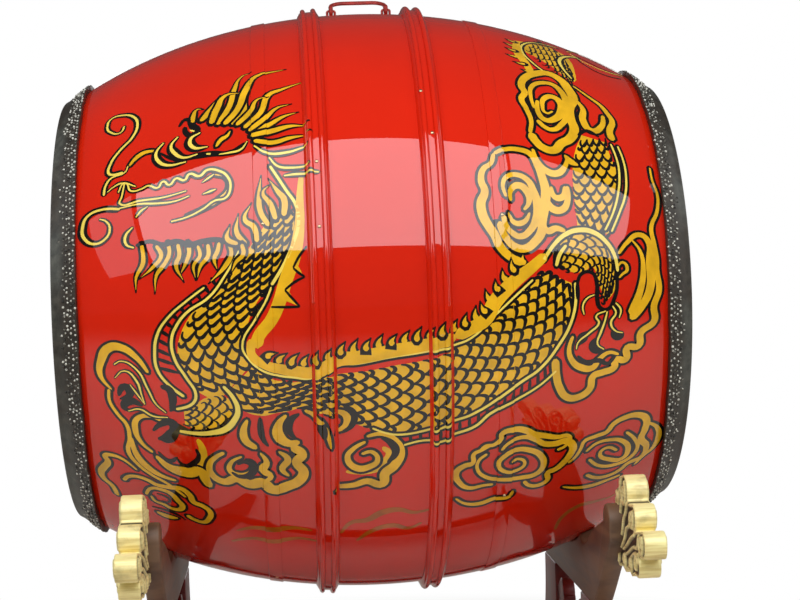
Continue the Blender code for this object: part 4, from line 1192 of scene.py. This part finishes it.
class BuildHeads(bpy.types.Operator):
    """Turn the two stretched skins and set their pegs"""
    bl_idname = "temple_drum.build_heads"
    bl_label = "Heads and pegs"

    def execute(self, context):
        rng = random.Random(5)
        for side, way in SIDES:
            skin = self.stretch_skin(way)
            settle(skin, f"{side}_hide", "drum", "hide")
            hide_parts(f"hide_{side}")
            pegs = self.set_pegs(way, rng)
            settle(pegs, f"{side}_hide_pegs", "drum", "hide_pegs", "hide")
        return {"FINISHED"}

    def skin_height(self, x):
        """Height of the skin above the shell, which stands off a little at its free edge."""
        s = sizes()
        return s.hide_thickness * (1 + 0.95 * min(max((s.half_length - 0.004 - x) / s.hide_skirt, 0.0), 1.0))

    def stretch_skin(self, way):
        s = sizes()
        edge, rim, skin = s.half_length - s.hide_skirt, s.half_length, s.hide_thickness
        outer = [(edge, curve_radius(edge) + skin * 0.9), (edge + 0.0015, curve_radius(edge) + skin * 1.7)]
        for k in range(9):
            x = edge + 0.003 + (rim - 0.005 - edge) * k / 8
            outer.append((x, curve_radius(x) + self.skin_height(x)))
        corner_x, corner_r = rim + skin - s.hide_corner, s.end_radius + skin - s.hide_corner
        for k in range(1, 7):
            angle = math.radians(80 - 80 * k / 6)
            outer.append((corner_x + s.hide_corner * math.cos(angle), corner_r + s.hide_corner * math.sin(angle)))
        outer += [(rim + skin, corner_r * k / 12) for k in range(11, -1, -1)]
        inner = [(rim + 0.0001, 0.0), (rim + 0.0001, s.end_radius + 0.0003)]
        inner += [(edge + (rim - edge) * k / 4, curve_radius(edge + (rim - edge) * k / 4) + 0.0002)
                  for k in range(4, -1, -1)]
        profile = [(x * way, r) for x, r in outer + inner]
        head = turn(profile + profile[:1], s.facets)
        for vertex in head.data.vertices:
            off = vertex.co - AXIS
            angle = math.atan2(off.z, off.y)
            if abs(off.x) < edge + 0.002:
                wave = math.sin(angle * 23) + math.sin(angle * 61 + 2) + 0.7 * math.sin(angle * 137 + 4)
                vertex.co.x += way * 0.0005 * wave
        return head

    def set_pegs(self, way, rng):
        """Low domes in staggered rows next to the skin's edge, with a few strays farther out."""
        s = sizes()
        peg = dome(8, 6, 1.0, -0.05)
        shape = [v.co.copy() for v in peg.data.vertices]
        faces = [list(p.vertices) for p in peg.data.polygons]
        bpy.data.objects.remove(peg)
        edge = s.half_length - s.hide_skirt
        vertices, polygons = [], []
        for row, missing in enumerate(PEGS_MISSING):
            middle = edge + PEG_ROWS_START + PEG_ROW_SPACING * row
            count = round(ROUND * (curve_radius(middle) + s.hide_thickness) / s.peg_pitch)
            for k in range(count):
                if rng.random() < missing:
                    continue
                angle = (k + 0.5 * (row % 2) + rng.uniform(-PEG_STRAY, PEG_STRAY)) * ROUND / count
                x = middle + rng.uniform(-PEG_DRIFT, PEG_DRIFT)
                scale = rng.uniform(*PEG_SCALES) * s.peg_radius
                radius = curve_radius(x) + self.skin_height(x) - 0.0002
                out = Vector((0.0, -math.cos(angle), math.sin(angle)))
                side = Vector((0.0, math.sin(angle), math.cos(angle)))
                start = len(vertices)
                for co in shape:
                    vertices.append(AXIS + Vector((x * way + co.x * scale, 0, 0)) + out * (radius + co.z * scale)
                                    + side * co.y * scale)
                polygons += [[start + i for i in face] for face in faces]
        mesh = bpy.data.meshes.new("pegs")
        mesh.from_pydata(vertices, [], polygons)
        pegs = bpy.data.objects.new("pegs", mesh)
        bpy.context.collection.objects.link(pegs)
        pick(pegs)
        edit_all()
        bpy.ops.mesh.normals_make_consistent(inside=False)
        leave_edit()
        soften(50)
        return pegs


class CarveScrolls(bpy.types.Operator):
    """Carve the four gilded cloud scrolls on the ends of the cradle boards"""
    bl_idname = "temple_drum.carve_scrolls"
    bl_label = "Gilded scrolls"

    def execute(self, context):
        figure = slab(scroll_outline(), SCROLL_INNER, SCROLL_OUTER)
        round_edges(figure, SCROLL_ROUNDING, 4)
        modify(figure, "REMESH", mode="VOXEL", voxel_size=SCROLL_VOXEL)
        modify(figure, "SMOOTH", factor=0.5, iterations=5)
        self.carve(figure)
        for side, way in SIDES:
            for depth, reach in DEPTHS:
                pick(figure)
                bpy.ops.object.duplicate()
                scroll = bpy.context.object
                scroll.scale = (way, reach, 1)
                settle(scroll, f"{side}_{depth}_scroll", "stand", "gilded_wood")
                if way * reach < 0:
                    edit_all()
                    bpy.ops.mesh.flip_normals()
                    leave_edit()
                bpy.ops.object.shade_smooth()
                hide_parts(f"horn_{side}_{depth}")
        bpy.data.objects.remove(figure)
        return {"FINISHED"}

    def carve(self, figure):
        """Raise the locks on both sides, sink what lies between them and store it, with the creases, as a mask of
        painted shade.
        """
        mesh = figure.data
        places, normals = (np.empty(len(mesh.vertices) * 3) for _ in range(2))
        mesh.vertices.foreach_get("co", places)
        mesh.vertices.foreach_get("normal", normals)
        places, facing = places.reshape(-1, 3), normals.reshape(-1, 3)[:, 0]
        flat = places[:, 1:] - np.array((0.0, AXIS.z))
        raised = np.zeros(len(flat))
        for first, last, line in scroll_locks():
            line = smooth(line, 4)
            steps = len(line) - 1
            for k in range(steps):
                off, share = segment_gap(flat, line[k], line[k + 1])
                radius = first + (last - first) * (k + share) / steps
                raised = np.maximum(raised, np.sqrt(np.clip(1 - (off / radius) ** 2, 0.0, 1.0)))
        rim = np.full(len(flat), 1.0)
        open_edge = scroll_outline()[8:]  # without the arc next to the board
        for start, end in zip(open_edge, open_edge[1:]):
            rim = np.minimum(rim, segment_gap(flat, start, end)[0])
        side = np.clip((np.abs(facing) - 0.45) / 0.3, 0.0, 1.0)
        side *= np.clip((rim - CARVING_RIM) / CARVING_RISE, 0.0, 1.0)
        # Painted shade: the sunk parts between the locks get a mask that the gilded finish turns near black.
        recess_shade = side * (1 - raised) ** 1.5
        places[:, 0] += np.sign(facing) * side * (CARVING_DEPTH * raised - CARVING_SUNK)
        # The creases between the lobes are added to the painted shade.
        for pinch in from_tip(PINCHES):
            off = np.linalg.norm(flat - np.array(pinch), axis=1)
            recess_shade = np.maximum(recess_shade, np.exp(-(off / PINCH_RADIUS) ** 2))
        mesh.vertices.foreach_set("co", places.ravel())
        mesh.attributes.new("recess_shade", "FLOAT", "POINT").data.foreach_set("value", recess_shade)
        mesh.update()


class BuildCradle(bpy.types.Operator):
    """Shape the cradle boards, the legs and the scalloped rails"""
    bl_idname = "temple_drum.build_cradle"
    bl_label = "Cradle boards, legs and rails"

    def execute(self, context):
        for side, way in SIDES:
            self.shape(self.cradle_outline(), BOARD_INNER, BOARD_OUTER, way, BOARD_ROUNDING,
                       f"{side}_cradle", "brown_wood", f"cradle_board_{side}")
            middle = (BOARD_INNER + BOARD_OUTER) / 2
            self.shape(self.rail_outline(), middle - RAIL_HALF, middle + RAIL_HALF, way, RAIL_ROUNDING,
                       f"{side}_rail", "red_wood", f"lower_rail_{side}")
            for depth, reach in DEPTHS:
                outline = [(reach * y, z) for y, z in self.leg_outline()]
                self.shape(outline, BOARD_INNER, BOARD_OUTER, way, LEG_ROUNDING,
                           f"{side}_{depth}_leg", "red_wood", f"leg_{side}_{depth}")
        return {"FINISHED"}

    def shape(self, outline, low, high, way, rounding, name, finish_name, node):
        """Cut a board, fit what touches the shell to its slope, and round the edges."""
        if way < 0:
            low, high = -high, -low
        board = slab(outline, low, high)
        seat = curve_radius(BOARD_INNER)
        for vertex in board.data.vertices:
            off = vertex.co - AXIS
            reach = math.hypot(off.y, off.z)
            if abs(reach - seat) < 0.0005:
                scale = (curve_radius(off.x) + 0.0004) / reach
                vertex.co = AXIS + Vector((off.x, off.y * scale, off.z * scale))
        round_edges(board, rounding, 3)
        settle(board, name, "stand", finish_name)
        soften(40)
        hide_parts(node)

    def cradle_outline(self):
        """The half from the level edge out to the tip, the hollow, the seat and the other half."""
        flat, end, bottom, sweep, tip_radius = 0.315, TIP[0], -0.560, 0.142, 0.033
        half = [(flat, bottom)]
        for k in range(1, 13):
            half.append((flat + (end - flat) * k / 12, bottom + sweep * (k / 12) ** 1.05))
        half += arc(end - tip_radius, TIP[1] - tip_radius, tip_radius, 0, 160, 12)
        half += smooth(from_tip([(-0.315, -0.155), (-0.425, -0.19), (-0.75, -0.275), (-1.05, -0.38),
                                 (-1.30, -0.50), (-1.525, -0.54), (-1.675, -0.485)]), 3)
        radius = curve_radius(BOARD_INNER)
        first = math.asin(half[-1][0] / radius)
        seat = [(radius * math.sin(first * (1 - k / 8)), -radius * math.cos(first * (1 - k / 8)))
                for k in range(17)]
        return half[:-1] + seat + [(-y, z) for y, z in half[-2::-1]]

    def leg_outline(self):
        """A board that leans outwards in a curve to a foot with upright sides."""
        inner, width, splay, top, floor = 0.165, 0.150, 0.155, -0.5603, -AXIS.z
        outer_foot, inner_foot = floor + 0.030, floor + 0.020
        foot = inner + splay
        points = [(inner + width, top)]
        points += [(inner + width + splay * (k / 16) ** 2.2, top + (outer_foot - top) * k / 16)
                   for k in range(1, 16)]
        points += [(foot + width, outer_foot), (foot + width, floor), (foot, floor), (foot, inner_foot)]
        for k in range(15, 0, -1):
            shift = splay * max(0.0, (k / 16 - 0.45) / 0.55) ** 1.6
            points.append((inner + shift, top + (inner_foot - top) * k / 16))
        return points + [(inner, top)]

    def rail_outline(self):
        """A rail between the legs, with two scallops on each side of its middle."""
        top, bottom, shoulder = -0.606, -0.691, 0.1647
        half = [(shoulder, top)]
        half += arc(shoulder - 0.045, top - 0.008, 0.030, 60, 180, 12)
        half += arc(shoulder - 0.115, top - 0.010, 0.035, 0, -80, 10)
        half += [(0.030, top - 0.020), (0.0, top - 0.026)]
        return half + [(-y, z) for y, z in half[:-1][::-1]] + [(-shoulder, bottom), (shoulder, bottom)]


class PaintDragon(bpy.types.Operator):
    """Brush the dragon and its clouds on the front, and again on the back"""
    bl_idname = "temple_drum.paint_dragon"
    bl_label = "Dragon and clouds"

    def execute(self, context):
        layers = {}
        for count, (paint_name, layer, widths, points) in enumerate(ribbons(brush_strokes())):
            lift = LIFTS[layer] + 0.006 * (count % 13)
            layers.setdefault(paint_name, []).append((lift, widths, points))
        for paint_name, strokes in layers.items():
            figure = brush(strokes)
            cut(figure, creases(), 0)
            if paint_name == "gold":
                cut(figure, [PAINT_GRID * k for k in range(-36, 37)], 0)
                cut(figure, [PAINT_GRID * k for k in range(-36, 48)], 1)
            lay_on(figure)
            settle(figure, f"front_{paint_name}", "drum", f"{paint_name}_paint", "red_lacquer")
            pick(figure)
            bpy.ops.object.duplicate()
            copy = bpy.context.object
            copy.rotation_euler.z = math.pi
            settle(copy, f"back_{paint_name}", "drum", f"{paint_name}_paint", "red_lacquer")
        return {"FINISHED"}


class FinishFrame(bpy.types.Operator):
    """Give every CAD node that is shown its own finish"""
    bl_idname = "temple_drum.finish_frame"
    bl_label = "Frame finishes"

    def execute(self, context):
        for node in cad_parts.values():
            paint(node, node.data.materials[0].name.split(".")[0])
        return {"FINISHED"}


class BuildStage(bpy.types.Operator):
    """Set the floor, the soft lights and the camera"""
    bl_idname = "temple_drum.build_stage"
    bl_label = "Stage"

    def execute(self, context):
        self.build_floor()
        self.build_lights()
        self.build_camera()
        context.scene.view_settings.view_transform = "Standard"
        return {"FINISHED"}

    def build_floor(self):
        """A floor that fades to white away from the object."""
        deselect()
        bpy.ops.mesh.primitive_plane_add(size=FLOOR_SIZE, location=(0, 0, 0))
        floor = bpy.context.object
        floor.name = "floor"
        material, tree, shader = new_material("pale_floor")
        tint = tuple(colours().floor)
        tone = ramp(tree, noise(tree, 1.5), [(0.3, shade(tint, 0.99)), (0.7, tint)])
        plug(tree, shader, {"Base Color": tone, "Roughness": 0.8})
        far = between(tree, distance(tree, object_place(tree)), *FLOOR_FADE, "SMOOTHSTEP")
        seen = combine(tree, "MULTIPLY", far, seen_ray(tree))
        white = add(tree, "ShaderNodeEmission", {"Color": (1, 1, 1, 1), "Strength": 1.0})
        faded = add(tree, "ShaderNodeMixShader", {0: seen, 1: shader.outputs["BSDF"],
                                                  2: white.outputs["Emission"]})
        plug(tree, tree.nodes["Material Output"], {"Surface": faded.outputs["Shader"]})
        floor.data.materials.append(material)
        floor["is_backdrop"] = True

    def build_lights(self):
        world = bpy.data.worlds.new("studio")
        bpy.context.scene.world = world
        world.use_nodes = True
        tree = world.node_tree
        strength = spread(tree, seen_ray(tree), WORLD_LIGHT, 1.0)
        plug(tree, tree.nodes["Background"], {"Color": (1, 1, 1, 1), "Strength": strength})
        for name, place, target, width, height, radiance, tint in SOFTBOXES:
            light = bpy.data.lights.new(name, "AREA")
            light.shape = "RECTANGLE"
            light.size, light.size_y = width, height
            light.energy = radiance * math.pi * width * height
            light.color = tint
            lamp = bpy.data.objects.new(name, light)
            lamp.location = place
            lamp.rotation_mode = "QUATERNION"
            lamp.rotation_quaternion = (Vector(target) - lamp.location).to_track_quat("-Z", "Y")
            bpy.context.collection.objects.link(lamp)

    def build_camera(self):
        data = bpy.data.cameras.new("camera")
        data.sensor_width = SENSOR_WIDTH
        data.lens = FOCAL_PIXELS / FRAME_PIXELS * SENSOR_WIDTH
        camera = bpy.data.objects.new("camera", data)
        bpy.context.collection.objects.link(camera)
        yaw, pitch, roll = (math.radians(a) for a in (CAMERA_YAW, CAMERA_PITCH, CAMERA_ROLL))
        turned = (Matrix.Rotation(yaw, 4, "Z") @ Matrix.Rotation(pitch, 4, "X")
                  @ Matrix.Rotation(roll, 4, "Y") @ Matrix.Rotation(math.pi / 2, 4, "X"))
        camera.matrix_world = Matrix.Translation(AXIS + Vector(CAMERA_OFFSET)) @ turned
        bpy.context.scene.camera = camera


class DrumPanel(bpy.types.Panel):
    """Lists the drum's pieces in the sidebar"""
    bl_idname = "VIEW3D_PT_temple_drum"
    bl_label = "Temple Drum"
    bl_space_type = "VIEW_3D"
    bl_region_type = "UI"
    bl_category = "Temple Drum"

    def draw(self, context):
        for operator in OPERATORS:
            self.layout.operator(operator.bl_idname)
        for group in (sizes(), colours()):
            for name in group.__annotations__:
                self.layout.prop(group, name)


OPERATORS = (FinishFrame, BuildBarrel, BuildHoops, BuildHeads, CarveScrolls, BuildCradle, PaintDragon,
             BuildStage)
CLASSES = (DrumSizes, DrumColours, *OPERATORS, DrumPanel)


def register():
    for cls in CLASSES:
        bpy.utils.register_class(cls)
    bpy.types.Scene.temple_drum_sizes = PointerProperty(type=DrumSizes)
    bpy.types.Scene.temple_drum_colours = PointerProperty(type=DrumColours)


def unregister():
    del bpy.types.Scene.temple_drum_colours
    del bpy.types.Scene.temple_drum_sizes
    for cls in reversed(CLASSES):
        bpy.utils.unregister_class(cls)


def main():
    register()
    bpy.ops.temple_drum.finish_frame()
    bpy.ops.temple_drum.build_barrel()
    bpy.ops.temple_drum.build_hoops()
    bpy.ops.temple_drum.build_heads()
    bpy.ops.temple_drum.carve_scrolls()
    bpy.ops.temple_drum.build_cradle()
    bpy.ops.temple_drum.paint_dragon()
    bpy.ops.temple_drum.build_stage()
    boxes = {"cad": CAD_BOX, "visual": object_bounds()}
    {name: [list(corner) for corner in box] for name, box in boxes.items()}


if __name__ == "__main__":
    main()
